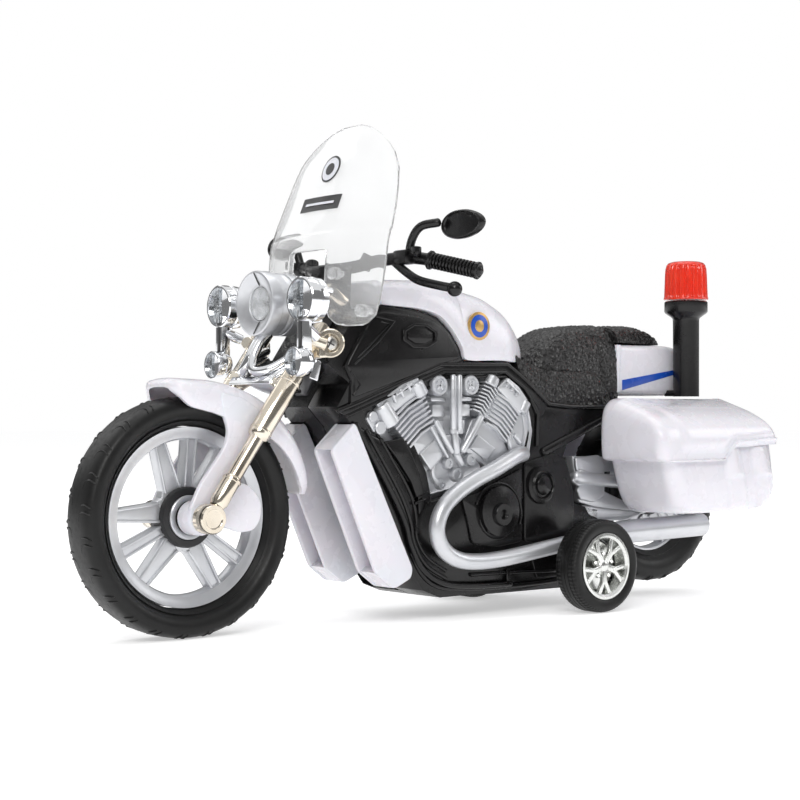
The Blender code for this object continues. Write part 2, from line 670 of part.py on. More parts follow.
def mainspring():
    """Flat spiral spring lying inside the cup."""
    turns, start, pitch, half = 3.2, 1.35, 0.70, 0.13
    count = 44
    outer, inner = [], []
    for i in range(count + 1):
        a = 2 * math.pi * turns * i / count
        r = start + pitch * a / (2 * math.pi)
        outer.append((SPRING_PIN[0] + (r + half) * math.cos(a), SPRING_PIN[1] + (r + half) * math.sin(a)))
        inner.append((SPRING_PIN[0] + (r - half) * math.cos(a), SPRING_PIN[1] + (r - half) * math.sin(a)))
    return finish(plate("mainspring", outer + inner[::-1], -5.8, -1.2), STEEL)


# ---------------------------------------------------------------- front end

def clamp_plate(name, low, high, reach, half):
    """Fork clamp plate, square to the steering axis, with a hole for the stem."""
    outline = [(-3.4, -2.0), (-2.0, -3.6), (2.5, -half), (reach, -half), (reach, half), (2.5, half),
               (-2.0, 3.6), (-3.4, 2.0)]
    down = Vector((RAKE_DIR[0], 0, RAKE_DIR[1]))
    ahead = Vector((-RAKE_DIR[1], 0, RAKE_DIR[0]))
    rings = []
    for along in (low, high):
        base = Vector((HEAD[0], 0, HEAD[1])) + down * along
        rings.append([tuple(base + ahead * o + Vector((0, y, 0))) for o, y in outline])
    clamp = loft(name, rings)
    return cut(clamp, rod(name + "_hole", rake_point(-20, 0, 0), rake_point(20, 0, 0), STEM_R + GAP, 16))


def fork_leg(name, side):
    """Tapered leg with the axle eye at its foot and the screw lug at its top."""
    top, knee, foot = on_rake(0.6, 7.9), on_rake(26.0, 7.7), FRONT_AXLE
    y = side * LEG_Y
    leg = tube(name, [(top[0], y, top[1]), (knee[0] - 0.4, y, knee[1] + 0.6), (knee[0], y, knee[1]),
                      (foot[0] - 1.4, y, foot[1] + 2.0)], LEG_R, [1.0, 1.0, 0.78, 0.78], 3)
    low, high = sorted((side * 9.4, side * 13.0))
    lug_low, lug_high = sorted((side * LUG_Y[0], side * LUG_Y[1]))
    arm = plate(name + "_arm", [(LUG[0] + 1.0, LUG[1] - 3.2), (top[0] + 4.4, top[1] - 7.4),
                                (top[0] + 1.2, top[1] - 1.6), (LUG[0] + 1.6, LUG[1] + 3.2)],
                *sorted((side * 12.2, side * 14.8)))
    join(leg, pin_along_y(name + "_eye", FRONT_AXLE, low, high, 3.4, 24), arm,
         pin_along_y(name + "_lug", LUG, lug_low, lug_high, LUG_R, 24))
    cut(leg, pin_along_y(name + "_axle_hole", FRONT_AXLE, -20, 20, PIN_R + GAP, 16),
        pin_along_y(name + "_screw_hole", LUG, -20, 20, 1.3 + GAP, 16),
        pin_along_y(name + "_screw_recess", LUG, *sorted((side * (LUG_Y[1] - 1.2), side * 18)),
                    LUG_HEAD_R + GAP, 16))
    return finish(leg, NICKEL)


def lug_screw(name, side):
    seat = LUG_Y[1] - 1.2 + GAP
    screw = pin_along_y(name, LUG, *sorted((side * (LUG_Y[0] + 0.2), side * (seat + 0.2))), 1.3, 12)
    head = pin_along_y(name + "_head", LUG, *sorted((side * seat, side * (seat + 1.3))), LUG_HEAD_R, 16)
    return finish(join(screw, head), STEEL)


def headlight():
    x, z = HEADLIGHT
    shell = turned("headlight_shell", [(0, 0.0), (6.0, 0.0), (7.2, 0.3), (HEADLIGHT_R, -0.6), (HEADLIGHT_R, -2.6),
                                       (7.2, -3.2), (7.2, -8.0), (5.6, -12.4), (3.4, -14.0), (0, -14.0)],
                   (x, 0, z), (1, 0, 0), 28)
    cut(shell, rod("headlight_seat", (x - 2.4, 0, z), (x + 4, 0, z), 4.6 + GAP, 24))
    lens = turned("headlight_lens", [(0, 0.9), (2.6, 0.5), (4.6, -0.6), (4.6, -2.0), (0, -2.0)],
                  (x, 0, z), (1, 0, 0), 24)
    return finish(shell, SILVER), finish(lens, CLEAR)


def fog_lamps(name, side):
    """Two plated lamp cans on one flat post, with a stub to the fork leg."""
    y = side * LAMP_Y
    upper, lower = (52.4, 78.0), (55.4, 63.3)
    can = [(0, 5.2), (4.0, 5.2), (5.2, 4.8), (5.2, 0.0), (3.4, -1.8), (0, -1.8)]
    top = turned(name, can, (upper[0], y, upper[1]), (1, 0, 0), 24)
    small = [(r * 0.66, h * 0.72) for r, h in can]
    post = box(name + "_post", (upper[0] + 0.6, y - 1.2, lower[1] + 1.0), (upper[0] + 3.0, y + 1.2, upper[1] - 4.0))
    stub = rod(name + "_stub", (upper[0] + 1.6, y, 71.0), (49.6, side * 15.8, 69.2), 1.5, 12)
    join(top, turned(name + "_lower", small, (lower[0], y, lower[1]), (1, 0, 0), 20), post, stub)
    return finish(top, CHROME)


def windshield():
    """Clear screen, bent about a raked axis, cut away in the middle for the headlight."""
    rows = [(72.2, 41.6, 20.5), (78.0, 42.3, 22.5), (84.0, 42.3, 23.4), (90.5, 41.6, 23.8),
            (97.0, 39.8, 23.8), (104.0, 37.0, 22.6), (110.0, 34.4, 21.0), (115.0, 31.9, 18.0),
            (119.0, 29.6, 13.0), (121.6, 28.0, 8.0), (122.6, 27.2, 4.0)]
    fractions = [-1.0, -0.85, -0.6, -0.38, -0.19, 0.0, 0.19, 0.38, 0.6, 0.85, 1.0]
    shape = bmesh.new()
    grid = []
    for z, x_mid, half in rows:
        row = []
        for f in fractions:
            y = f * half
            row.append(shape.verts.new((x_mid - y * y / (2 * SHIELD_BEND_R), y, z)))
        grid.append(row)
    for i in range(len(rows) - 1):
        for j in range(len(fractions) - 1):
            if rows[i][0] < 90 and 3 <= j <= 6:
                continue
            shape.faces.new((grid[i][j], grid[i][j + 1], grid[i + 1][j + 1], grid[i + 1][j]))
    loose = [v for v in shape.verts if not v.link_faces]
    bmesh.ops.delete(shape, geom=loose, context="VERTS")
    screen = mesh_object("windshield", shape)
    skin = screen.modifiers.new("thickness", "SOLIDIFY")
    skin.thickness = SHIELD_T * MM
    skin.offset = 0.0
    return finish(screen, CLEAR)


def handlebar():
    """Swept bar with risers, levers and mirror stems in one moulding."""
    half_route = [(33.4, 0.0, 86.4), (32.8, 8.0, 86.6), (29.6, 16.0, 88.0), (25.3, 24.0, 88.0),
                  (19.4, 38.0, 84.4)]
    left = smooth_path(half_route, 2)
    path = [(p.x, -p.y, p.z) for p in reversed(left[1:])] + [tuple(p) for p in left]
    bar = tube("handlebar", path, BAR_R)
    riser = [on_rake(-11.8, 0.0), on_rake(-11.8, 6.5), (36.4, 87.4), (31.2, 87.4)]
    tools = [plate("bar_riser", riser, -5.0, 5.0)]
    for side in (1, -1):
        lever = [(28.6, 18.5, 87.0), (28.2, 24.0, 83.4), (26.8, 30.0, 81.4), (24.0, 34.4, 80.3)]
        stem = [(27.0, 21.5, 88.4), (27.4, 23.8, 94.6), (24.6, 27.6, 96.0)]
        tools.append(tube(f"lever_{side}", [(x, side * y, z) for x, y, z in smooth_path(lever, 2)], 1.0))
        tools.append(tube(f"mirror_stem_{side}", [(x, side * y, z) for x, y, z in stem], 1.1))
        shape = bmesh.new()
        bmesh.ops.create_uvsphere(shape, u_segments=10, v_segments=6, radius=1.8)
        ball = mesh_object(f"lever_ball_{side}", shape)
        ball.location = (24.0 * MM, side * 34.6 * MM, 80.2 * MM)
        tools.append(ball)
    return finish(join(bar, *tools), BLACK)


def mirror(name, side):
    """Oval mirror plugged on the stem's end."""
    ring = []
    for x, grow in ((-1.0, 0.86), (0.6, 1.0), (1.2, 0.9)):
        ring.append([(22.0 + x, side * 35.6 + 7.4 * grow * math.cos(a), 95.4 + 3.5 * grow * math.sin(a))
                     for a in (2 * math.pi * k / 20 for k in range(20))])
    body = loft(name, ring)
    socket = rod(name + "_socket_hole", (24.6, side * 27.6, 96.0), (22.6, side * 31.0, 96.2), 1.1 + GAP, 12)
    return finish(cut(body, socket), BLACK)


def front_fender():
    """Channel over the front tyre with a stay and axle boss on each side."""
    rings = []
    for i in range(15):
        share = i / 14
        a = math.radians(74 + 110 * share)
        crest = 30.6 + 5.0 * share
        half = 8.4 if 0.1 < share < 0.92 else 7.4
        skirt = 26.6 + 4.4 * share
        outer = [(skirt, half), (crest - 2.6, half), (crest - 0.7, half * 0.72), (crest, 0.0),
                 (crest - 0.7, -half * 0.72), (crest - 2.6, -half), (skirt, -half)]
        inner = [(skirt, -half + 1.2), (crest - 3.2, -half + 1.2), (crest - 1.7, -half * 0.6),
                 (crest - 1.2, 0.0), (crest - 1.7, half * 0.6), (crest - 3.2, half - 1.2),
                 (skirt, half - 1.2)]
        rings.append([(FRONT_AXLE[0] + r * math.cos(a), y, FRONT_AXLE[1] + r * math.sin(a))
                      for r, y in outer + inner])
    fender = loft("front_fender", rings)
    for side in (1, -1):
        stay = [(72.6, 56.0), (61.4, 52.0), (63.6, 45.0), (73.0, 26.0), (79.6, 27.0), (74.6, 38.0), (70.4, 45.0)]
        join(fender, plate(f"stay_{side}", stay[::-1], *sorted((side * 7.1, side * 8.5))),
             pin_along_y(f"stay_boss_{side}", FRONT_AXLE, *sorted((side * 3.8, side * 8.9)), 4.0, 24))
    cut(fender, pin_along_y("fender_axle_hole", FRONT_AXLE, -20, 20, PIN_R + GAP, 16))
    return finish(fender, WHITE)


# ---------------------------------------------------------------- assembly

def build():
    for side, label in ((1, "left"), (-1, "right")):
        frame_half(f"frame_{label}", side)
        engine_half(f"engine_{label}", side)
        exhaust(f"exhaust_{label}", side)
        radiator_shroud(f"radiator_shroud_{label}", side)
        swingarm(f"swingarm_{label}", side)
        saddlebag_body(f"saddlebag_body_{label}", side)
        saddlebag_lid(f"saddlebag_lid_{label}", side)
        motor_case(f"motor_case_{label}", side)
        drive_wheel(side, label)
        fork_leg(f"fork_leg_{label}", side)
        lug_screw(f"lug_screw_{label}", side)
        fog_lamps(f"fog_lamps_{label}", side)
        mirror(f"mirror_{label}", side)
    for label, spot in zip(("lower", "rear", "upper"), SCREW_SPOTS):
        frame_screw(f"frame_screw_{label}", spot)
    tank_shell()
    seat()
    tail_cowl()
    beacon_bracket()
    beacon()
    drive_pinion()
    middle_gear()
    spring_gear()
    mainspring()
    finish(pin_along_y("drive_axle", DRIVE_AXLE, -27.4, 27.4, DRIVE_AXLE_R, 14), STEEL)
    finish(pin_along_y("middle_gear_pin", MIDDLE_PIN, -8.6, 8.6, GEAR_PIN_R, 12), STEEL)
    finish(pin_along_y("spring_pin", SPRING_PIN, -8.6, 8.6, GEAR_PIN_R, 12), STEEL)
    tyre("front_tyre", FRONT_AXLE, FRONT_TYRE_R, TYRE_HALF, FRONT_RIM_R)
    tyre("rear_tyre", REAR_AXLE, REAR_TYRE_R, TYRE_HALF, REAR_RIM_R)
    big_rim("front_rim", FRONT_AXLE, FRONT_RIM_R, 155.4)
    big_rim("rear_rim", REAR_AXLE, REAR_RIM_R, 35.0)
    axle_with_heads("front_axle", FRONT_AXLE, 13.3, PIN_R, 1.9, 0.7)
    axle_with_heads("rear_axle", REAR_AXLE, 11.3, PIN_R, 2.2, 0.8)
    finish(turned("steering_bush", [(BUSH_R, BUSH_HALF), (BUSH_R, -BUSH_HALF), (STEM_R + GAP, -BUSH_HALF),
                                    (STEM_R + GAP, BUSH_HALF)],
                  (HEAD[0], 0, HEAD[1]), (RAKE_DIR[0], 0, RAKE_DIR[1]), 20, closed=True), BLACK)
    finish(rod("steering_stem", rake_point(-11.2, 0, 0), rake_point(12.4, 0, 0), STEM_R, 16), STEEL)
    finish(clamp_plate("fork_clamp_upper", -11.4, -8.4, 9.0, 7.0), NICKEL)
    finish(clamp_plate("steering_block", 8.2, 13.0, 5.0, 10.4), GREY)
    finish(box("fork_crown", *rake_box(17.4, 19.8, 5.6, 11.2, LEG_Y - LEG_R - GAP), -RAKE), NICKEL)
    headlight()
    windshield()
    handlebar()
    front_fender()


build()
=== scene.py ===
"""Looks of the pull-back patrol motorcycle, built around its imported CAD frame.

Shapes are worked out in millimetres in the row frame: +X forward, +Y the rider's left, +Z up.
"""

import math

import bmesh
import bpy
from mathutils import Matrix, Vector, noise


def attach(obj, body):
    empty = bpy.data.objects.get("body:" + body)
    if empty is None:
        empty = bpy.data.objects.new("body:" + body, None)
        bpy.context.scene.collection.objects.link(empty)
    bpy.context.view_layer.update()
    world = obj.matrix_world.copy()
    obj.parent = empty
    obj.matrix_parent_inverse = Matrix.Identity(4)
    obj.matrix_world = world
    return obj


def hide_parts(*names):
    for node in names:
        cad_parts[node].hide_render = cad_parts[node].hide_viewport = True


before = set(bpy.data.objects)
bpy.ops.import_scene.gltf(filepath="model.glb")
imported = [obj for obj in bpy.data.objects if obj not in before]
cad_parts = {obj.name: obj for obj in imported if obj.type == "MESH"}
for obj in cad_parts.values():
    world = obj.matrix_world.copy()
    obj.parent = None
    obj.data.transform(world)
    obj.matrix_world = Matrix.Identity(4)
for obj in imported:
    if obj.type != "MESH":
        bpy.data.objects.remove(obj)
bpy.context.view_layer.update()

MM = 0.001
SMOOTH_ANGLE = math.radians(38)
SIDES = ((1, "left"), (-1, "right"))

# Driving places, x and z in the row frame
FRONT_AXLE = (76.6, 27.5)
REAR_AXLE = (-78.4, 29.6)
DRIVE_AXLE = (-33.9, 12.0)
FRONT_RIM_R, REAR_RIM_R = 20.6, 19.0
FRONT_TYRE_R, REAR_TYRE_R, TYRE_HALF = 27.5, 25.7, 5.4
DRIVE_RIM_R, DRIVE_Y = 8.4, (20.6, 28.2)
RAKE = math.radians(35.0)
RAKE_DIR = (math.sin(RAKE), -math.cos(RAKE))
HEAD = (38.0, 68.0)
LEG_Y = 11.3
LUG = (42.8, 67.6)
HEADLIGHT = (55.0, 77.2)
LAMP_Y = 16.8
BEACON = (-79.8, 14.9)
FACE_Y = 12.0                               # outer face of the frame halves
MERGE = 0.002                               # points nearer than this are one point


def link(obj):
    bpy.context.scene.collection.objects.link(obj)


# ---------------------------------------------------------------- materials

def new_material(name):
    made = bpy.data.materials.new(name)
    made.use_nodes = True
    tree = made.node_tree
    return made, tree, tree.nodes["Principled BSDF"]


def add_noise(tree, scale, detail=3.0):
    """Noise in object space; scale is in waves per millimetre."""
    place = tree.nodes.new("ShaderNodeTexCoord")
    texture = tree.nodes.new("ShaderNodeTexNoise")
    texture.inputs["Scale"].default_value = scale * 1000
    texture.inputs["Detail"].default_value = detail
    tree.links.new(place.outputs["Object"], texture.inputs["Vector"])
    return texture.outputs["Fac"]


def spread(tree, value, low, high):
    """Maps a noise value to a range."""
    node = tree.nodes.new("ShaderNodeMapRange")
    node.inputs["From Min"].default_value = 0.3
    node.inputs["From Max"].default_value = 0.7
    node.inputs["To Min"].default_value = low
    node.inputs["To Max"].default_value = high
    tree.links.new(value, node.inputs["Value"])
    return node.outputs["Result"]


def blend_colours(tree, value, first, second):
    node = tree.nodes.new("ShaderNodeMix")
    node.data_type = "RGBA"
    node.inputs[6].default_value = (*first, 1)
    node.inputs[7].default_value = (*second, 1)
    tree.links.new(value, node.inputs[0])
    return node.outputs[2]


def relief(tree, shader, value, strength, depth):
    """Bump; depth in millimetres."""
    bump = tree.nodes.new("ShaderNodeBump")
    bump.inputs["Strength"].default_value = strength
    bump.inputs["Distance"].default_value = depth * MM
    tree.links.new(value, bump.inputs["Height"])
    tree.links.new(bump.outputs["Normal"], shader.inputs["Normal"])


def surface(name, colour, shade, roughness, metallic=0.0, patch=0.12, grain=2.0, bump=0.1, depth=0.03,
            **sockets):
    """A moulded, painted or plated surface: colour drifts to shade, roughness is a (low, high) pair."""
    made, tree, shader = new_material(name)
    drift = spread(tree, add_noise(tree, patch), 0.0, 1.0)
    tree.links.new(blend_colours(tree, drift, colour, shade), shader.inputs["Base Color"])
    tree.links.new(spread(tree, add_noise(tree, grain * 0.35, 4.0), *roughness),
                   shader.inputs["Roughness"])
    shader.inputs["Metallic"].default_value = metallic
    for socket, value in sockets.items():
        shader.inputs[socket.replace("_", " ")].default_value = value
    relief(tree, shader, add_noise(tree, grain, 5.0), bump, depth)
    return made


MATERIALS = {
    "white": surface("white_plastic", (0.765, 0.75, 0.805), (0.75, 0.735, 0.79), (0.24, 0.30), grain=0.7,
                     bump=0.05, depth=0.05, Coat_Weight=0.35, Coat_Roughness=0.12, Subsurface_Weight=0.08,
                     Subsurface_Scale=0.002),
    "black": surface("black_plastic", (0.0035, 0.0034, 0.0036), (0.007, 0.0065, 0.007), (0.18, 0.30),
                     grain=0.8, bump=0.10, depth=0.05, Specular_IOR_Level=0.38),
    "satin_black": surface("satin_black_plastic", (0.010, 0.010, 0.011), (0.018, 0.018, 0.019), (0.36, 0.52),
                           grain=2.0, bump=0.2, depth=0.03),
    "grey": surface("dark_grey_plastic", (0.035, 0.035, 0.038), (0.05, 0.05, 0.053), (0.34, 0.5), grain=2.0,
                    bump=0.2, depth=0.03),
    "silver": surface("silver_paint", (0.66, 0.67, 0.69), (0.58, 0.59, 0.62), (0.30, 0.42), 0.72, grain=5.0,
                      bump=0.12, depth=0.02, Coat_Weight=0.25, Coat_Roughness=0.2),
    "nickel": surface("nickel_plate", (0.80, 0.74, 0.64), (0.66, 0.58, 0.47), (0.10, 0.22), 1.0, grain=0.5,
                      bump=0.16, depth=0.06),
    "chrome": surface("chrome_plate", (0.88, 0.89, 0.91), (0.80, 0.81, 0.83), (0.05, 0.14), 1.0, grain=0.6,
                      bump=0.10, depth=0.05),
    "mottled": surface("mottled_reflector", (0.20, 0.22, 0.24), (0.62, 0.64, 0.66), (0.10, 0.3), 1.0,
                       patch=0.7, grain=1.6, bump=0.7, depth=0.16),
    "steel": surface("steel", (0.62, 0.61, 0.58), (0.5, 0.49, 0.47), (0.22, 0.36), 1.0, grain=3.0, bump=0.15,
                     depth=0.02),
    "rubber": surface("tyre_rubber", (0.006, 0.006, 0.006), (0.010, 0.010, 0.010), (0.34, 0.48), grain=3.0,
                      bump=0.3, depth=0.03, Specular_IOR_Level=0.3),
    "satin_chrome": surface("satin_chrome", (0.80, 0.81, 0.79), (0.70, 0.71, 0.69), (0.20, 0.30), 1.0,
                            grain=2.0, bump=0.10, depth=0.02),
    "nylon": surface("natural_nylon", (0.62, 0.60, 0.53), (0.56, 0.54, 0.47), (0.4, 0.5), grain=1.0, bump=0.1,
                     depth=0.03),
    "blue": surface("blue_stripe", (0.010, 0.085, 0.50), (0.012, 0.07, 0.43), (0.22, 0.3), grain=1.0,
                    bump=0.05, depth=0.02),
    "gold": surface("gold_print", (0.62, 0.40, 0.15), (0.50, 0.30, 0.10), (0.25, 0.35), 0.6, grain=2.0,
                    bump=0.1, depth=0.02),
    # Dark print for seams and screen prints; the same material is also used for painted shade in the screw
    # recess, the fog post channel and the tailpipe.
    "print_and_shade_black": surface("dark_print_and_painted_shade", (0.03, 0.03, 0.032), (0.05, 0.05, 0.052), (0.4, 0.5), grain=2.0,
                           bump=0.1, depth=0.02),
    "clear": surface("clear_plastic", (0.97, 0.975, 0.98), (0.94, 0.945, 0.95), (0.02, 0.08), grain=0.25,
                     bump=0.06, depth=0.10, Transmission_Weight=0.80, IOR=1.36),
    "red": surface("red_clear_plastic", (0.94, 0.060, 0.022), (0.86, 0.035, 0.014), (0.12, 0.22), grain=1.0,
                   bump=0.05, depth=0.03, Transmission_Weight=0.35, IOR=1.45, Subsurface_Weight=0.3,
                   Subsurface_Scale=0.004, Coat_Weight=0.4, Coat_Roughness=0.08),
}


def leather_material():
    """Coarse moulded hide grain over a dark body."""
    made, tree, shader = new_material("grained_seat_plastic")
    place = tree.nodes.new("ShaderNodeTexCoord")
    cells = tree.nodes.new("ShaderNodeTexVoronoi")
    cells.feature = "F1"
    cells.inputs["Scale"].default_value = 950
    tree.links.new(place.outputs["Object"], cells.inputs["Vector"])
    colour = blend_colours(tree, spread(tree, add_noise(tree, 0.25), 0, 1), (0.007, 0.0065, 0.0068),
                           (0.014, 0.013, 0.013))
    tree.links.new(colour, shader.inputs["Base Color"])
    tree.links.new(spread(tree, add_noise(tree, 1.2), 0.24, 0.40), shader.inputs["Roughness"])
    relief(tree, shader, cells.outputs["Distance"], 1.0, 0.35)
    return made


MATERIALS["leather"] = leather_material()


# ---------------------------------------------------------------- shapes, each a bmesh in millimetres

def bevel_sharp(shape, width, segments=2, angle=30):
    """Rounds every edge sharper than the angle."""
    limit = math.radians(angle)
    edges = [e for e in shape.edges if len(e.link_faces) == 2 and e.calc_face_angle(0) > limit]
    if edges:
        bmesh.ops.bevel(shape, geom=edges, offset=width, segments=segments, affect="EDGES", profile=0.5,
                        clamp_overlap=True)
    return shape


def mesh_to_shape(mesh, scale=1.0):
    shape = bmesh.new()
    shape.from_mesh(mesh)
    bmesh.ops.scale(shape, vec=(scale,) * 3, verts=shape.verts)
    return shape


def slab(outline, y_low, y_high, bevel=0.3, holes=(), steps=2):
    """A flat outline in XZ given a thickness along Y, with rounded edges."""
    low, high = sorted((y_low, y_high))
    curve = bpy.data.curves.new("slab", "CURVE")
    curve.dimensions = "2D"
    curve.fill_mode = "BOTH"
    curve.extrude = max((high - low) / 2 - bevel, 0.01)
    curve.bevel_depth = bevel
    curve.bevel_resolution = steps
    curve.offset = -bevel
    for loop in (outline, *holes):
        spline = curve.splines.new("POLY")
        spline.points.add(len(loop) - 1)
        for point, (x, z) in zip(spline.points, loop):
            point.co = (x, z, 0, 1)
        spline.use_cyclic_u = True
    holder = bpy.data.objects.new("slab", curve)
    link(holder)
    bpy.context.view_layer.update()
    mesh = bpy.data.meshes.new_from_object(holder.evaluated_get(bpy.context.evaluated_depsgraph_get()))
    shape = mesh_to_shape(mesh)
    bpy.data.objects.remove(holder, do_unlink=True)
    bpy.data.curves.remove(curve)
    bpy.data.meshes.remove(mesh)
    bmesh.ops.remove_doubles(shape, verts=shape.verts, dist=MERGE)
    turn = Matrix.Translation((0, (low + high) / 2, 0)) @ Matrix.Rotation(math.pi / 2, 4, "X")
    bmesh.ops.transform(shape, matrix=turn, verts=shape.verts)
    bmesh.ops.recalc_face_normals(shape, faces=shape.faces)
    return shape


def loft(rings, caps=True, closed=False):
    """A skin through rings of equal length; closed joins the last ring to the first."""
    shape = bmesh.new()
    rows = [[shape.verts.new(p) for p in ring] for ring in rings]
    count = len(rings[0])
    pairs = list(zip(rows, rows[1:])) + ([(rows[-1], rows[0])] if closed else [])
    for low, high in pairs:
        for i in range(count):
            j = (i + 1) % count
            shape.faces.new((low[i], low[j], high[j], high[i]))
    if caps and not closed:
        shape.faces.new(rows[0][::-1])
        shape.faces.new(rows[-1])
    bmesh.ops.recalc_face_normals(shape, faces=shape.faces)
    return shape


def around(count, start=0.0):
    """Evenly spread angles of a full turn."""
    return [start + 2 * math.pi * k / count for k in range(count)]


def spun(spot, profile, steps, side=1):
    """Closed skin of (radius, y) points turned about a wheel's axle; profile may be made for each step."""
    rings = []
    for i, a in enumerate(around(steps)):
        points = profile(i) if callable(profile) else profile
        rings.append([Vector((spot[0] + r * math.cos(a), side * h, spot[1] + r * math.sin(a)))
                      for r, h in points])
    return loft(rings, closed=True)


def finer(profile, count):
    """The same outline with each stretch cut into count parts."""
    fine = []
    for (r0, h0), (r1, h1) in zip(profile, profile[1:]):
        fine += [(r0 + (r1 - r0) * k / count, h0 + (h1 - h0) * k / count) for k in range(count)]
    return fine + [profile[-1]]


def lathe(profile, place, axis, steps=48, bend=None):
    """Turns (radius, height) points about an axis; bend(angle, radius, height) may change a radius."""
    turn = Vector((0, 0, 1)).rotation_difference(Vector(axis)).to_matrix()
    rings = []
    for r, h in profile:
        ring = []
        for a in around(steps):
            radius = max(bend(a, r, h) if bend else r, 0.0004)
            ring.append(turn @ Vector((radius * math.cos(a), radius * math.sin(a), h)) + Vector(place))
        rings.append(ring)
    shape = loft(rings)
    bmesh.ops.remove_doubles(shape, verts=shape.verts, dist=MERGE)
    return shape


def rod(start, end, radius, radius_end=None, soft=0.15, steps=24):
    """A round bar between two points with softened ends."""
    start, end = Vector(start), Vector(end)
    last = radius if radius_end is None else radius_end
    long = (end - start).length
    soft = min(soft, radius * 0.5, last * 0.5, long * 0.3)
    profile = [(0, 0), (radius - soft, 0), (radius, soft), (last, long - soft), (last - soft, long),
               (0, long)]
    return lathe(profile, start, end - start, steps)


def disc(spot, side, y_low, y_high, radius, soft=0.2, steps=32):
    """A round boss on a side face."""
    return rod((spot[0], side * y_low, spot[1]), (spot[0], side * y_high, spot[1]), radius, None, soft, steps)


def dish(spot, side, profile, steps=40):
    """A turned detail on a side face; profile is (radius, y)."""
    return lathe(profile, (spot[0], 0, spot[1]), (0, side, 0), steps)


def smooth_path(points, per_span=6, cyclic=False):
    """Catmull-Rom points through the given ones."""
    pts = [Vector(p) for p in points]
    if cyclic:
        ends = [pts[-1], *pts, pts[0], pts[1]]
    else:
        ends = [2 * pts[0] - pts[1], *pts, 2 * pts[-1] - pts[-2]]
    path = []
    for i in range(1, len(ends) - 2):
        a, b, c, d = ends[i - 1:i + 3]
        for k in range(per_span):
            t = k / per_span
            path.append(0.5 * (2 * b + (c - a) * t + (2 * a - 5 * b + 4 * c - d) * t ** 2
                               + (3 * b - a - 3 * c + d) * t ** 3))
    if not cyclic:
        path.append(pts[-1])
    return path


def sweep(points, radius, sides=12, flat=1.0, grow=None):
    """A round or flattened bar along points, with rounded ends; grow(share) scales its radius."""
    pts = [Vector(p) for p in points]
    tangents = [(pts[min(i + 1, len(pts) - 1)] - pts[max(i - 1, 0)]).normalized() for i in range(len(pts))]
    normal = tangents[0].cross(Vector((0, 1, 0)))
    if normal.length < 0.1:
        normal = tangents[0].cross(Vector((0, 0, 1)))
    normal.normalize()
    rings = []
    last = len(pts) - 1
    stations = [(0, -0.55, 0.45), (0, -0.3, 0.85)] + [(i, 0, 1) for i in range(last + 1)]
    stations += [(last, 0.3, 0.85), (last, 0.55, 0.45)]
    for i, push, share in stations:
        tangent = tangents[i]
        normal = (normal - tangent * normal.dot(tangent)).normalized()
        other = tangent.cross(normal)
        scale = radius * (grow(i / last) if grow else 1.0)
        centre = pts[i] + tangent * push * scale
        rings.append([centre + (normal * math.cos(a) + other * math.sin(a) * flat) * scale * share
                      for a in around(sides)])
    return loft(rings)


def brick(low, high, bevel=0.3, turn=0.0, segments=2):
    """A block between opposite corners with rounded edges, turned about +Y through its middle."""
    low, high = [min(pair) for pair in zip(low, high)], [max(pair) for pair in zip(low, high)]
    shape = bmesh.new()
    bmesh.ops.create_cube(shape, size=1.0)
    bmesh.ops.scale(shape, vec=[b - a for a, b in zip(low, high)], verts=shape.verts)
    bevel_sharp(shape, bevel, segments)
    place = Matrix.Translation([(a + b) / 2 for a, b in zip(low, high)]) @ Matrix.Rotation(turn, 4, "Y")
    bmesh.ops.transform(shape, matrix=place, verts=shape.verts)
    return shape


def from_cad(node, bevel=0.35, segments=2):
    """The CAD node's own solid with its edges rounded."""
    shape = mesh_to_shape(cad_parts[node].data, 1 / MM)
    bmesh.ops.remove_doubles(shape, verts=shape.verts, dist=0.01)
    bmesh.ops.dissolve_limit(shape, angle_limit=math.radians(1.5), verts=shape.verts, edges=shape.edges)
    if bevel:
        bevel_sharp(shape, bevel, segments, 25)
    return shape


def mirrored(points, side):
    return [(x, side * y, z) for x, y, z in points]


def on_face(points, side, y):
    """XZ points placed on a side face."""
    return [(x, side * y, z) for x, z in points]


def arc(centre, radius, start, end, count):
    steps = [math.radians(start + (end - start) * i / (count - 1)) for i in range(count)]
    return [(centre[0] + radius * math.cos(a), centre[1] + radius * math.sin(a)) for a in steps]


def fillet(points, radius, count=4):
    """Rounds the corners of a closed XZ outline."""
    rounded = []
    total = len(points)
    for i in range(total):
        before, here, after = (Vector(points[(i + k) % total]) for k in (-1, 0, 1))
        reach = min(radius, (before - here).length * 0.45, (after - here).length * 0.45)
        start = here + (before - here).normalized() * reach
        end = here + (after - here).normalized() * reach
        for k in range(count + 1):
            t = k / count
            rounded.append(tuple((1 - t) ** 2 * start + 2 * t * (1 - t) * here + t ** 2 * end))
    return rounded


def on_rake(along, offset):
    return (HEAD[0] + along * RAKE_DIR[0] - offset * RAKE_DIR[1],
            HEAD[1] + along * RAKE_DIR[1] + offset * RAKE_DIR[0])


def rake_point(along, offset, y):
    x, z = on_rake(along, offset)
    return (x, y, z)


# ---------------------------------------------------------------- pieces


def piece(name, shapes, look, body, *nodes, slot=None, angle=SMOOTH_ANGLE):
    """Joins shapes into one object that rides on a body and stands for its CAD nodes."""
    whole = bmesh.new()
    for shape in shapes:
        mesh = bpy.data.meshes.new("part")
        shape.to_mesh(mesh)
        shape.free()
        whole.from_mesh(mesh)
        bpy.data.meshes.remove(mesh)
    bmesh.ops.scale(whole, vec=(MM,) * 3, verts=whole.verts)
    mesh = bpy.data.meshes.new(name)
    whole.to_mesh(mesh)
    whole.free()
    obj = bpy.data.objects.new(name, mesh)
    link(obj)
    mesh.materials.append(MATERIALS[look])
    mesh.shade_smooth()
    mesh.set_sharp_from_angle(angle=angle)
    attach(obj, body)
    if nodes:
        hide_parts(*nodes)
    return obj


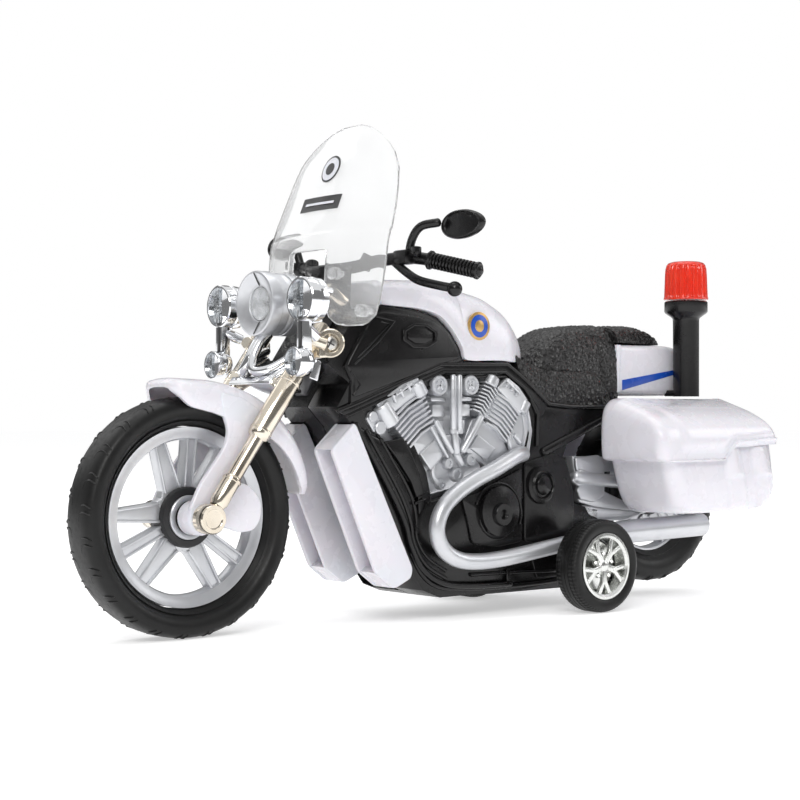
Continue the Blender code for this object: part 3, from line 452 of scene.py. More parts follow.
# ---------------------------------------------------------------- tyres

# share of the half-width and share of the depth, from bead to crown
TYRE_SECTION = [(0.44, 0.0), (0.62, 0.12), (0.70, 0.17), (0.66, 0.20), (0.90, 0.36), (1.0, 0.56),
                (0.985, 0.74), (0.90, 0.86), (0.72, 0.945), (0.42, 0.988), (0.0, 1.0)]


HOOK_R = 0.18                               # raised hooks of the tread


def road_tyre(spot, radius, inner, pitches):
    """Motorcycle tyre with thin raised hooks across its shoulders."""
    deep = radius - inner
    section = [Vector((inner + f * deep, w * TYRE_HALF)) for w, f in TYRE_SECTION]
    upper = smooth_path([(v.y, v.x, 0) for v in section], 4)
    profile = [(p.y, p.x) for p in upper]
    crown = [(h / TYRE_HALF, r) for r, h in profile if r > inner + 0.5 * deep]
    profile += [(r, -h) for r, h in reversed(profile[:-1])]

    def skin(share):
        """Tyre radius at a share of the half-width."""
        return min(crown, key=lambda point: abs(point[0] - share))[1]

    centre = Vector((spot[0], 0, spot[1]))
    shapes = [spun(spot, profile, 180)]
    long_hook = [(0.30, 0.0), (0.32, 2.2), (0.40, 3.7), (0.56, 4.4), (0.74, 4.2), (0.92, 3.2)]
    short_hook = [(0.44, 7.6), (0.60, 7.9), (0.78, 7.4), (0.93, 6.2)]
    for k in range(pitches):
        for side in (1, -1):
            for hook in (long_hook, short_hook):
                path = []
                for point in smooth_path([(share, degrees, 0) for share, degrees in hook], 3):
                    a = math.radians(360 / pitches * (k + (0.5 if side < 0 else 0)) + point.y * 24 / pitches)
                    r = min(skin(point.x) + 0.06, radius - HOOK_R - 0.01)
                    path.append(centre + Vector((r * math.cos(a), side * point.x * TYRE_HALF,
                                                 r * math.sin(a))))
                shapes.append(sweep(path, HOOK_R, 6))
    return shapes


def small_tyre(side):
    """Hard rubber tyre with fine ribs around and across."""
    middle, half = sum(DRIVE_Y) / 2, (DRIVE_Y[1] - DRIVE_Y[0]) / 2
    section = [(DRIVE_RIM_R + 0.2, -half + 0.5), (DRIVE_RIM_R + 0.9, -half + 0.15), (10.6, -half),
               (11.5, -half + 0.4), (11.85, -half + 1.2), (12.0, -half + 2.0), (12.0, 0)]
    lower = [(p.x, p.y) for p in smooth_path([(r, h, 0) for r, h in section], 5)]
    profile = lower + [(r, -h) for r, h in reversed(lower[:-1])]
    fine = finer(profile, 3)

    def ribbed(i):
        points = []
        for r, h in fine:
            tread = r > 11.4
            groove = 0.28 if tread and abs(math.sin(h * 2.55)) < 0.22 else 0.0
            rib = 0.16 if tread and i % 4 < 2 and abs(h) > 1.2 else 0.0
            points.append((r - max(groove, rib), middle + h))
        return points

    return spun(DRIVE_AXLE, ribbed, 288, side)


# ---------------------------------------------------------------- wheels

def polar(spot, radius, degrees):
    a = math.radians(degrees)
    return (spot[0] + radius * math.cos(a), spot[1] + radius * math.sin(a))


def spoked_rim(spot, rim_r, turn):
    """Cast rim: three V spokes with three straight ribbed bars between them."""
    width, lip = 2.6, rim_r - 0.9
    ring_profile = [(rim_r - 2.9, -1.3), (rim_r - 2.5, -2.0), (lip - 0.5, -2.2), (lip, -width),
                    (rim_r, -width), (rim_r, width), (lip, width), (lip - 0.5, 2.2), (rim_r - 2.5, 2.0),
                    (rim_r - 2.9, 1.3)]
    centre = Vector((spot[0], 0, spot[1]))

    def beaded(i):
        """Every second step of the lip stands in a little."""
        bead = 0.10 if i % 2 else 0.0
        return [(r, h * (1 - (bead if abs(r - lip) < 0.1 else 0))) for r, h in ring_profile]

    shapes = [spun(spot, beaded, 120)]
    hub = [(0, 2.3), (3.6, 2.3), (3.7, 3.1), (4.0, 3.3), (4.9, 3.3), (5.1, 3.1), (5.1, 0)]
    for side in (1, -1):
        shapes.append(lathe(hub, centre, (0, side, 0), 48))
    end = rim_r - 2.2

    def bar(edges):
        """A web between two edge lines, each line with a raised rail."""
        (a0, a1), (b0, b1) = edges
        shapes.append(slab([a0, a1, b1, b0], -1.3, 1.3, 0.2))
        for start, finish in edges:
            middle = ((a0[0] + b0[0]) / 2, (a0[1] + b0[1]) / 2), ((a1[0] + b1[0]) / 2, (a1[1] + b1[1]) / 2)
            path = []
            for here, core in ((start, middle[0]), (finish, middle[1])):
                path.append((here[0] * 0.82 + core[0] * 0.18, here[1] * 0.82 + core[1] * 0.18))
            for side in (1, -1):
                shapes.append(sweep(on_face(path, side, 1.5), 0.34, 8))

    for k in range(3):
        v = turn + 120 * k
        for way in (1, -1):
            inner = (polar(spot, rim_r * 0.40, v + way * 9), polar(spot, end, v + way * 28))
            outer = (polar(spot, 5.0, v + way * 50), polar(spot, end, v + way * 37))
            bar((inner, outer))
        web = [polar(spot, 4.4, v - 50), polar(spot, rim_r * 0.41, v - 9.5), polar(spot, rim_r * 0.37, v),
               polar(spot, rim_r * 0.41, v + 9.5), polar(spot, 4.4, v + 50)]
        shapes.append(slab(web, -1.28, 1.28, 0.2))
        b = v + 60
        bar(((polar(spot, 5.0, b - 13), polar(spot, end, b - 4.4)),
             (polar(spot, 5.0, b + 13), polar(spot, end, b + 4.4))))
    return shapes


def small_rim(side):
    """Plated five-spoke rim with split spokes, centre cap and nuts."""
    face = DRIVE_Y[1]
    barrel = [(DRIVE_RIM_R, face - 0.6), (DRIVE_RIM_R + 0.15, face - 0.3), (7.9, face - 0.2),
              (7.3, face - 0.7), (7.1, face - 2.4), (6.9, DRIVE_Y[0] + 1.2),
              (DRIVE_RIM_R, DRIVE_Y[0] + 0.9)]
    shapes = [spun(DRIVE_AXLE, barrel, 72, side)]
    for k in range(5):
        a = 90 + 36 + 72 * k
        half = ((1.2, 40), (4.0, 13), (7.4, 20), (7.5, 10))
        outline = [polar(DRIVE_AXLE, r, a - turn) for r, turn in half] + [polar(DRIVE_AXLE, 4.7, a)]
        outline += [polar(DRIVE_AXLE, r, a + turn) for r, turn in reversed(half)]
        shapes.append(slab(outline, side * (face - 2.0), side * (face - 0.8), 0.3))
        shapes.append(disc(polar(DRIVE_AXLE, 3.1, a + 36), side, face - 2.2, face - 1.0, 0.55, 0.2, 6))
    shapes.append(dish(DRIVE_AXLE, side, [(0, face - 0.5), (0.9, face - 0.55), (1.5, face - 0.9),
                                          (1.8, face - 1.4), (2.4, face - 1.6), (2.6, face - 2.2),
                                          (0, face - 2.2)]))
    shapes.append(dish(DRIVE_AXLE, side, [(0, face - 4.0), (6.2, face - 4.0), (6.4, face - 4.3),
                                          (0, face - 4.3)]))
    return shapes


def wheels():
    for label, spot, rim_r, tyre_r, turn in (("front", FRONT_AXLE, FRONT_RIM_R, FRONT_TYRE_R, 155.4),
                                             ("rear", REAR_AXLE, REAR_RIM_R, REAR_TYRE_R, 35.0)):
        body = label + "_wheel"
        bead = rim_r + 0.25 if label == "front" else rim_r - 1.9
        piece(label + "_wheel_tyre", road_tyre(spot, tyre_r, bead, 24), "rubber", body,
              label + "_tyre", angle=math.radians(50))
        piece(label + "_wheel_rim", spoked_rim(spot, rim_r, turn), "silver", body, label + "_rim")
        rings = [lathe([(5.1, 0), (7.0, 0), (7.0, 2.4), (6.7, 2.9), (5.4, 2.9), (5.1, 2.6)],
                       (spot[0], 0, spot[1]), (0, side, 0), 48) for side in (1, -1)]
        piece(label + "_wheel_hub_ring", rings, "satin_black", body)
    for side, label in SIDES:
        piece(f"side_wheel_tyre_{label}", [small_tyre(side)], "rubber", "drive_wheels",
              f"drive_tyre_{label}")
        piece(f"side_wheel_rim_{label}", small_rim(side), "satin_chrome", "drive_wheels",
              f"drive_rim_{label}")
        dark = [dish(DRIVE_AXLE, side, [(0, DRIVE_Y[1] - 4.4), (6.8, DRIVE_Y[1] - 4.4),
                                        (6.8, DRIVE_Y[1] - 5.0), (0, DRIVE_Y[1] - 5.0)])]
        piece(f"side_wheel_backing_{label}", dark, "satin_black", "drive_wheels", slot="tyre_rubber")


wheels()


# ---------------------------------------------------------------- front end

def lug_place(side):
    """Centre and direction of the eyelet beside the steering head; it faces half forward."""
    return Vector((LUG[0] + 2.4, side * 14.4, LUG[1])), Vector((0.52, side * 0.854, 0)).normalized()


def fork_legs():
    axis = Vector((RAKE_DIR[0], 0, RAKE_DIR[1]))
    top = Vector(rake_point(0.6, 7.9, 0))
    foot = Vector((FRONT_AXLE[0] - 1.6, 0, FRONT_AXLE[1] + 2.3))
    down = (foot - top).normalized()
    length = (foot - top).length
    for side, label in SIDES:
        start = top + Vector((0, side * LEG_Y, 0))
        profile = [(0, 0), (1.6, 0), (2.1, 0.4), (2.1, 14.0), (2.35, 14.4), (2.55, 15.2), (2.6, 31.5),
                   (2.35, 32.3), (1.75, 32.8), (1.7, length - 8.6), (2.05, length - 8.2),
                   (2.1, length - 7.8), (2.15, length - 1.6), (1.7, length - 0.6), (0, length - 0.6)]
        shapes = [lathe(profile, start, down, 40)]
        for along, radius in ((16.6, 2.72), (30.2, 2.72), (length - 8.0, 2.3)):
            spot = start + down * along
            shapes.append(rod(spot, spot + down * 0.8, radius, None, 0.2, 36))
        shapes.append(dish(FRONT_AXLE, side, [(2.0, 13.0), (2.3, 13.4), (3.1, 13.4), (3.4, 13.0), (3.4, 9.7),
                                              (3.1, 9.4), (1.2, 9.4), (1.2, 11.0), (1.9, 11.0), (2.0, 13.0)]))
        place, axis = lug_place(side)
        shapes.append(lathe([(2.1, 0.2), (2.15, 1.2), (2.4, 1.5), (3.1, 1.5), (3.4, 1.2), (3.4, -1.3),
                             (3.0, -1.6), (1.2, -1.6), (1.2, 0.2), (2.1, 0.2)], place, axis, 40))
        arm = [(LUG[0] + 1.0, LUG[1] - 3.3), (48.6, 64.0), (48.0, 69.0), (LUG[0] + 1.8, LUG[1] + 3.3),
               (LUG[0] + 3.1, LUG[1])]
        shapes.append(slab(fillet(arm, 0.8), side * 12.0, side * 15.0, 0.4))
        shapes.append(rod((50.2, side * 12.6, 68.6), (46.6, side * 15.0, 67.2), 1.5))
        piece(f"fork_leg_plated_{label}", shapes, "nickel", "fork", f"fork_leg_{label}")
        head = [lathe([(0, 1.05), (1.2, 1.0), (1.7, 0.7), (1.75, 0.2), (1.1, 0.2), (1.1, -1.5), (0, -1.5)],
                      place, axis, 32)]
        piece(f"lug_screw_head_{label}", head, "steel", "fork", f"lug_screw_{label}")
        # Dark cross on the steel screw head: painted shade standing in for the shade inside the cross recess.
        across = axis.cross(Vector((0, 0, 1))).normalized()
        cross = []
        for way in (across + Vector((0, 0, 0.5)), Vector((0, 0, 1)) - across * 0.5):
            way = way.normalized() * 1.05
            cross.append(sweep([place + axis * 1.0 - way, place + axis * 1.0 + way], 0.2, 8))
        piece(f"lug_screw_recess_painted_shade_{label}", cross, "print_and_shade_black", "fork", slot="steel")
    axle = []
    for side in (1, -1):
        axle.append(dish(FRONT_AXLE, side, [(0, 12.5), (0.6, 12.45), (0.9, 12.1), (1.0, 11.6), (1.15, 0),
                                            (0, 0)]))
    piece("front_axle_pin", axle, "steel", "fork", "front_axle")


def fork_bridge():
    crown = from_cad("fork_crown", 0.4)
    arms = [crown]
    for side in (1, -1):
        route = [(46.4, side * 9.6, 66.6), (51.5, side * 8.0, 64.4), (56.0, side * 5.4, 61.6),
                 (58.4, side * 2.4, 61.2), (57.6, side * 0.9, 64.0), (55.4, side * 0.7, 68.0),
                 (53.0, side * 0.6, 70.2)]
        arms.append(sweep(smooth_path(route, 6), 1.15, 12))
        arms.append(sweep(smooth_path([(46.4, side * 9.8, 64.0), (52.4, side * 8.6, 61.4),
                                       (56.6, side * 5.6, 58.6)], 5), 1.3, 12))
    piece("fork_crown_plated", arms, "chrome", "fork", "fork_crown")
    piece("fork_clamp_plated", [from_cad("fork_clamp_upper", 0.4)], "nickel", "fork",
          "fork_clamp_upper")
    piece("steering_block_grey", [from_cad("steering_block", 0.5)], "grey", "fork", "steering_block")
    tabs = []
    for side in (1, -1):
        middle = on_rake(9.6, 2.8)
        tabs.append(slab(fillet([(middle[0] + 2.6, middle[1] - 2.2), (middle[0] + 1.4, middle[1] + 2.6),
                                 (middle[0] - 1.0, middle[1] + 1.6), (middle[0] + 0.2, middle[1] - 3.0)],
                                0.3), side * 10.3, side * 10.8, 0.12))
    piece("steering_block_tabs", tabs, "chrome", "fork")


def headlamp():
    x, z = HEADLIGHT
    place = (x, 0, z)
    body = [(4.05, -0.6), (4.1, 0.05), (4.3, 0.25), (4.7, 0.25), (6.8, 1.55), (7.2, 1.8), (7.6, 1.7),
            (7.8, 1.3), (7.8, -1.2), (7.55, -1.5), (7.55, -3.3), (7.35, -3.5), (7.35, -4.0), (7.5, -4.2),
            (7.5, -4.9), (7.25, -5.0), (7.25, -5.4), (7.5, -5.5), (7.5, -8.2), (7.1, -8.5), (7.1, -9.1),
            (6.9, -9.2), (6.1, -11.4), (4.4, -13.2), (2.4, -14.0), (0, -14.0)]
    shell = [lathe([(0, -2.4), (2.2, -2.1), (3.4, -1.4), (4.0, -0.9)] + body, place, (1, 0, 0), 72)]
    piece("headlight_body", shell, "silver", "fork", "headlight_shell")
    bowl = [lathe([(0, -1.4), (1.8, -1.2), (3.2, -0.7), (4.0, 0.02), (4.0, -0.5), (3.0, -1.3), (0, -1.9)],
                  place, (1, 0, 0), 48)]
    bowl.append(lathe([(0, 0.0), (0.7, -0.1), (0.9, -0.6), (0.5, -1.5), (0, -1.5)], place, (1, 0, 0), 24))
    piece("headlight_reflector", bowl, "mottled", "fork")
    glass = [lathe([(0, 0.85), (1.8, 0.72), (3.2, 0.4), (4.0, 0.05), (3.9, -0.1), (3.1, 0.15), (1.7, 0.45),
                    (0, 0.55)], place, (1, 0, 0), 48)]
    piece("headlight_glass", glass, "clear", "fork", "headlight_lens")
    seam = [slab([(x + 0.2, z + way * 4.2), (x + 0.55, z + way * 4.6), (x + 1.95, z + way * 7.1),
                  (x + 1.5, z + way * 7.7), (x - 0.6, z + way * 7.66), (x - 0.6, z + way * 4.2)], -0.13,
                 0.13, 0.04) for way in (1, -1)]
    piece("headlight_seam", seam, "print_and_shade_black", "fork")


def lamp_can(place, radius, long):
    profile = [(radius * 0.84, long * 0.86), (radius * 0.88, long), (radius * 0.95, long),
               (radius, long * 0.94), (radius, long * 0.55), (radius * 0.93, long * 0.50),
               (radius * 0.93, long * 0.40), (radius, long * 0.34), (radius * 0.97, 0),
               (radius * 0.80, -long * 0.18), (radius * 0.55, -long * 0.32), (0, -long * 0.35)]
    return lathe([(0, long * 0.86), (radius * 0.8, long * 0.84)] + profile, place, (1, 0, 0), 56)


def fog_lights():
    for side, label in SIDES:
        y = side * LAMP_Y
        upper, lower = (50.9, y, 77.4), (54.0, y, 63.0)
        shapes = [lamp_can(upper, 5.25, 4.9), lamp_can(lower, 3.45, 3.7)]
        low, high = y - 1.35, y + 1.35
        shapes.append(brick((53.2, low, 64.2), (55.6, low + 0.75, 75.0), 0.2))
        shapes.append(brick((53.2, high - 0.75, 64.2), (55.6, high, 75.0), 0.2))
        shapes.append(brick((53.0, low + 0.2, 64.4), (54.6, high - 0.2, 75.0), 0.2))
        shapes.append(rod((54.0, y, 71.0), (50.0, side * 15.2, 69.0), 1.45))
        for angle in (25, 155, 270):
            a = math.radians(angle)
            clip = (49.6, y + 4.5 * math.cos(a), 77.4 + 4.5 * math.sin(a))
            shapes.append(rod(clip, (52.0, y + 5.0 * math.cos(a), 77.4 + 5.0 * math.sin(a)), 0.7, 0.6))
        piece(f"fog_lamp_cans_{label}", shapes, "chrome", "fork", f"fog_lamps_{label}")
        faces = []
        for (x, _, z), radius, long in ((upper, 5.25, 4.9), (lower, 3.45, 3.7)):
            arcs = [math.radians(92 + 176 * k / 24) for k in range(25)]
            rings = [[(x + long * depth, y + radius * grow * math.cos(a), z + radius * grow * math.sin(a))
                      for a in arcs] for depth, grow in ((0.78, 0.86), (0.90, 0.86), (0.94, 0.80))]
            faces.append(loft(rings))
        piece(f"fog_lamp_faces_{label}", faces, "mottled", "fork")
        # Dark bar in the mouth of the post's open channel: painted shade of the channel's inside.
        slot = brick((55.2, y - 0.5, 65.6), (55.75, y + 0.5, 73.4), 0.1)
        piece(f"fog_post_slot_painted_shade_{label}", [slot], "print_and_shade_black", "fork")


# height, edge x, inner half-width beside the headlight cut-out, outer half-width
SHIELD_ROWS = [(71.9, 37.6, 12.4, 17.2), (72.5, 37.5, 10.2, 19.4), (74.2, 37.3, 8.4, 21.4),
               (77.5, 36.9, 7.4, 22.4), (82.0, 36.5, 7.0, 23.2), (86.0, 36.1, 7.0, 23.6),
               (89.6, 35.7, 7.0, 23.7), (90.6, 35.6, 6.8, 23.75), (94.4, 34.9, 6.6, 24.0),
               (95.2, 34.4, 6.6, 24.0), (96.0, 34.2, 6.6, 24.0), (100.0, 32.9, 6.4, 23.5),
               (105.0, 31.3, 6.2, 22.4), (110.0, 29.9, 5.8, 21.0), (114.0, 29.2, 5.0, 18.7),
               (117.0, 28.6, 4.2, 15.5), (119.6, 27.9, 3.0, 11.6), (121.6, 27.4, 1.9, 7.2),
               (122.5, 27.0, 0.9, 3.4)]
NOTCH_TOP = 90.0
SHIELD_SKIN = 0.9


def shield_x(edge, half, y):
    """The screen is bent about an upright line: its middle lies ahead of its edges."""
    return edge + (half * half - y * y) / 100


def screen():
    shape = bmesh.new()
    grid = []
    for z, edge, inner, outer in SHIELD_ROWS:
        shares = [k / 5 for k in range(6)]
        half_row = [inner + (outer - inner) * s for s in shares]
        middle = [-inner + 2 * inner * k / 6 for k in range(1, 6)]
        row = [-y for y in reversed(half_row)] + middle + half_row
        grid.append([shape.verts.new((shield_x(edge, outer, y), y, z)) for y in row])
    for i in range(len(grid) - 1):
        for j in range(len(grid[0]) - 1):
            notch = 5 <= j <= 10 and SHIELD_ROWS[i][0] < NOTCH_TOP
            if not notch:
                shape.faces.new((grid[i][j], grid[i][j + 1], grid[i + 1][j + 1], grid[i + 1][j]))
    bmesh.ops.delete(shape, geom=[v for v in shape.verts if not v.link_faces], context="VERTS")
    bmesh.ops.subdivide_edges(shape, edges=shape.edges, cuts=1, use_grid_fill=True, smooth=0.6)
    obj = piece("windshield_screen", [shape], "clear", "fork", "windshield")
    skin = obj.modifiers.new("thickness", "SOLIDIFY")
    skin.thickness = SHIELD_SKIN * MM
    skin.offset = -1.0
    soft = obj.modifiers.new("edge", "BEVEL")
    soft.width = 0.25 * MM
    soft.segments = 2
    soft.limit_method = "ANGLE"
    return obj


def shield_patch(name, outline, look, lift=0.12):
    """A thin print on the screen's front; outline is (y, z) about the middle."""
    def on_screen(y, z):
        rows = SHIELD_ROWS
        for low, high in zip(rows, rows[1:]):
            if low[0] <= z <= high[0]:
                t = (z - low[0]) / (high[0] - low[0])
                edge = low[1] + (high[1] - low[1]) * t
                outer = low[3] + (high[3] - low[3]) * t
                return Vector((shield_x(edge, outer, y), y, z))
        return Vector((shield_x(rows[-1][1], rows[-1][3], y), y, z))

    shape = bmesh.new()
    front, back = [], []
    for y, z in outline:
        p = on_screen(y, z)
        front.append(shape.verts.new(p + Vector((lift + 0.1, 0, 0))))
        back.append(shape.verts.new(p + Vector((lift, 0, 0))))
    centre_y = sum(y for y, _ in outline) / len(outline)
    centre_z = sum(z for _, z in outline) / len(outline)
    hub = on_screen(centre_y, centre_z)
    caps = [shape.verts.new(hub + Vector((lift + 0.1, 0, 0))), shape.verts.new(hub + Vector((lift, 0, 0)))]
    total = len(outline)
    for i in range(total):
        j = (i + 1) % total
        shape.faces.new((front[i], front[j], caps[0]))
        shape.faces.new((back[j], back[i], caps[1]))
        shape.faces.new((front[j], front[i], back[i], back[j]))
    bmesh.ops.recalc_face_normals(shape, faces=shape.faces)
    piece(name, [shape], look, "fork")


def shield_prints():
    bar = [(-7.6 + 15.2 * k / 12, 100.6) for k in range(13)]
    bar += [(7.6 - 15.2 * k / 12, 104.2) for k in range(13)]
    shield_patch("windshield_band", bar, "print_and_shade_black")
    line = [(-5.6 + 11.2 * k / 10, 102.1) for k in range(11)]
    line += [(5.6 - 11.2 * k / 10, 102.7) for k in range(11)]
    shield_patch("windshield_band_line", line, "white", 0.26)
    for i, (radius, look) in enumerate(((3.4, "print_and_shade_black"), (2.9, "white"), (1.5, "print_and_shade_black"))):
        ring = [(radius * math.cos(a), 111.2 + radius * math.sin(a)) for a in around(28)]
        shield_patch(f"windshield_roundel_{i}", ring, look, 0.12 + 0.12 * i)
    studs = []
    for side in (1, -1):
        for y, z, edge, half in ((17.5, 75.4, 37.2, 21.6), (9.4, 84.6, 36.2, 23.5)):
            x = shield_x(edge, half, y)
            studs.append(rod((x - 2.2, side * y, z), (x + 0.5, side * y, z), 1.5))
            studs.append(rod((x - 3.6, side * y, z), (x + 0.2, side * y, z), 0.8))
    piece("windshield_studs", studs, "clear", "fork")


def handlebars():
    half_route = [(33.4, 0.0, 86.4), (32.8, 8.0, 86.6), (29.6, 16.0, 88.0), (25.3, 24.0, 88.0)]
    grip_end = (19.4, 38.0, 84.4)
    left = smooth_path([*half_route, grip_end], 8)
    route = [(p.x, -p.y, p.z) for p in reversed(left[1:])] + [tuple(p) for p in left]
    shapes = [sweep(route, 1.5, 16)]
    riser = fillet([on_rake(-11.8, 0.2), on_rake(-11.8, 6.4), (36.6, 87.6), (31.0, 87.6)], 1.0)
    shapes.append(slab(riser, -5.0, 5.0, 0.5))
    for side in (1, -1):
        inner = Vector((24.6, side * 26.0, 87.6))
        outer = Vector((19.4, side * 38.2, 84.4))
        along = outer - inner
        for k in range(15):
            spot = inner + along * (k / 15.5)
            shapes.append(rod(spot, spot + along.normalized() * 0.62, 1.95, None, 0.15, 20))
        shapes.append(rod(inner, inner + along.normalized() * 1.0, 2.3, None, 0.3))
        shapes.append(rod(outer - along.normalized() * 1.0, outer, 2.1, None, 0.4))
        lever = [(28.8, side * 18.2, 87.4), (28.4, side * 22.0, 84.8), (27.8, side * 26.0, 82.6),
                 (26.2, side * 31.0, 81.2), (24.2, side * 34.2, 80.4)]
        shapes.append(sweep(smooth_path(lever, 5), 0.85, 12, 1.3))
        ball = bmesh.new()
        bmesh.ops.create_uvsphere(ball, u_segments=24, v_segments=16, radius=1.8)
        bmesh.ops.translate(ball, vec=(24.0, side * 34.6, 80.2), verts=ball.verts)
        shapes.append(ball)
        stem = [(27.0, side * 21.4, 88.0), (27.3, side * 23.0, 92.4), (26.4, side * 25.2, 95.4),
                (24.2, side * 29.0, 96.2)]
        shapes.append(sweep(smooth_path(stem, 5), 1.05, 12))
        shapes.append(brick((26.2, side * 18.6, 86.6), (29.8, side * 23.4, 90.0), 0.6))
        shapes.append(brick((27.0, side * 24.4, 88.4), (29.0, side * 26.4, 90.6), 0.4))
        shapes.append(rod((32.0, side * 10.4, 86.0), (31.0, side * 11.8, 89.2), 1.7))
    piece("handlebar_moulding", shapes, "black", "fork", "handlebar")
    for side, label in SIDES:
        rings = []
        for x, grow in ((-0.9, 0.74), (-0.9, 0.84), (-0.5, 0.96), (0.3, 1.0), (0.9, 0.97), (1.15, 0.90),
                        (1.05, 0.84), (0.75, 0.80), (0.7, 0.4)):
            rings.append([(22.0 + x, side * 35.6 + 7.35 * grow * math.cos(a),
                           95.4 + 3.45 * grow * math.sin(a) * (1 - 0.10 * math.cos(a)))
                          for a in around(48)])
        piece(f"mirror_head_{label}", [loft(rings)], "black", "fork", f"mirror_{label}")
        glass = [[(22.0 + x, side * 35.6 + 5.6 * grow * math.cos(a), 95.4 + 2.55 * grow * math.sin(a))
                  for a in around(40)] for x, grow in ((-0.92, 1.0), (-1.0, 0.95))]
        piece(f"mirror_face_{label}", [loft(glass)], "chrome", "fork")


def fender():
    """Rounded channel over the front tyre; its skirts follow the tyre's shoulders."""
    stations = [(78, 29.4, 31.2, 5.6), (80, 27.6, 32.0, 7.4), (83, 25.6, 32.0, 8.2), (87, 24.8, 31.7, 8.5),
                (92, 24.3, 31.6, 8.6), (97, 24.0, 31.7, 8.6), (104, 23.6, 31.9, 8.7),
                (112, 23.6, 32.2, 8.7), (120, 24.0, 32.5, 8.7), (129, 25.0, 32.7, 8.7),
                (138, 26.2, 32.7, 8.6), (147, 27.2, 32.6, 8.5), (155, 27.9, 32.5, 8.3),
                (162, 28.4, 32.4, 8.0), (168, 29.2, 32.2, 7.2), (171.5, 30.4, 31.8, 5.6)]
    rings = []
    for row in smooth_path([(a, low, high) for a, low, high, _ in stations], 2):
        i = min(sum(1 for station in stations[1:] if station[0] <= row.x), len(stations) - 2)
        share = (row.x - stations[i][0]) / (stations[i + 1][0] - stations[i][0])
        half = stations[i][3] + (stations[i + 1][3] - stations[i][3]) * share
        a, skirt, crest = math.radians(row.x), row.y, row.z
        tall = crest - skirt
        outer = [(skirt, half), (skirt + tall * 0.4, half), (skirt + tall * 0.62, half * 0.985),
                 (skirt + tall * 0.80, half * 0.90), (skirt + tall * 0.92, half * 0.72),
                 (skirt + tall * 0.98, half * 0.44), (crest, half * 0.16)]
        inner = []
        for i, (r, y) in enumerate(outer):
            inner.append((r if r == skirt else r - 0.9, y - 1.1 if i < 5 else y * 0.9))
        loop = outer + [(r, -y) for r, y in reversed(outer)]
        loop += [(r, -y) for r, y in inner] + list(reversed(inner))
        rings.append([(FRONT_AXLE[0] + r * math.cos(a), y, FRONT_AXLE[1] + r * math.sin(a)) for r, y in loop])
    shapes = [bevel_sharp(loft(rings), 0.3, 2, 50)]
    for side in (1, -1):
        stay = [(72.0, 56.0), (66.0, 55.0), (60.8, 51.8), (62.6, 45.4), (67.4, 38.0), (73.0, 31.0),
                (73.2, 26.6), (76.6, 23.8), (80.0, 25.6), (80.2, 29.4), (77.4, 35.0), (73.8, 39.6),
                (70.8, 43.4), (69.6, 47.2), (71.0, 50.8)]
        shapes.append(slab(fillet(stay, 1.6), side * 7.4, side * 8.9, 0.45))
        lobe = [(75.0, 33.6), (70.5, 36.0), (64.0, 35.0), (60.4, 31.4), (60.2, 27.2), (62.2, 24.2),
                (66.6, 23.8), (71.0, 25.6), (75.0, 25.0)]
        shapes.append(slab(fillet(lobe, 1.8), side * 7.0, side * 8.4, 0.4))
        shapes.append(dish(FRONT_AXLE, side, [(1.5, 9.0), (3.2, 9.0), (3.5, 8.8), (3.9, 8.0), (3.9, 4.2),
                                              (3.4, 3.8), (1.5, 3.8)]))
    piece("fender_white", shapes, "white", "fork", "front_fender")


fork_legs()
fork_bridge()
headlamp()
fog_lights()
screen()
shield_prints()
handlebars()
fender()


# ---------------------------------------------------------------- frame halves and their relief

ENGINE_WINDOW = [(29.0, 46.0), (9.0, 60.2), (-13.0, 60.8), (-19.0, 57.0), (-22.5, 50.0), (-20.0, 42.5),
                 (-10.0, 37.0), (3.0, 31.5), (12.0, 29.5), (19.5, 35.0)]
COVER = [(37.4, 54.6), (37.2, 59.4), (39.2, 62.4), (31.8, 73.8), (28.0, 76.2), (16.5, 75.4), (10.4, 74.0),
         (6.4, 70.8), (3.6, 67.1), (2.8, 64.9), (9.2, 63.4), (17.4, 60.6)]
EMBLEM = (16.4, 70.3)
CLUTCH = (-9.8, 25.6)
SPROCKET = (-25.2, 32.6)


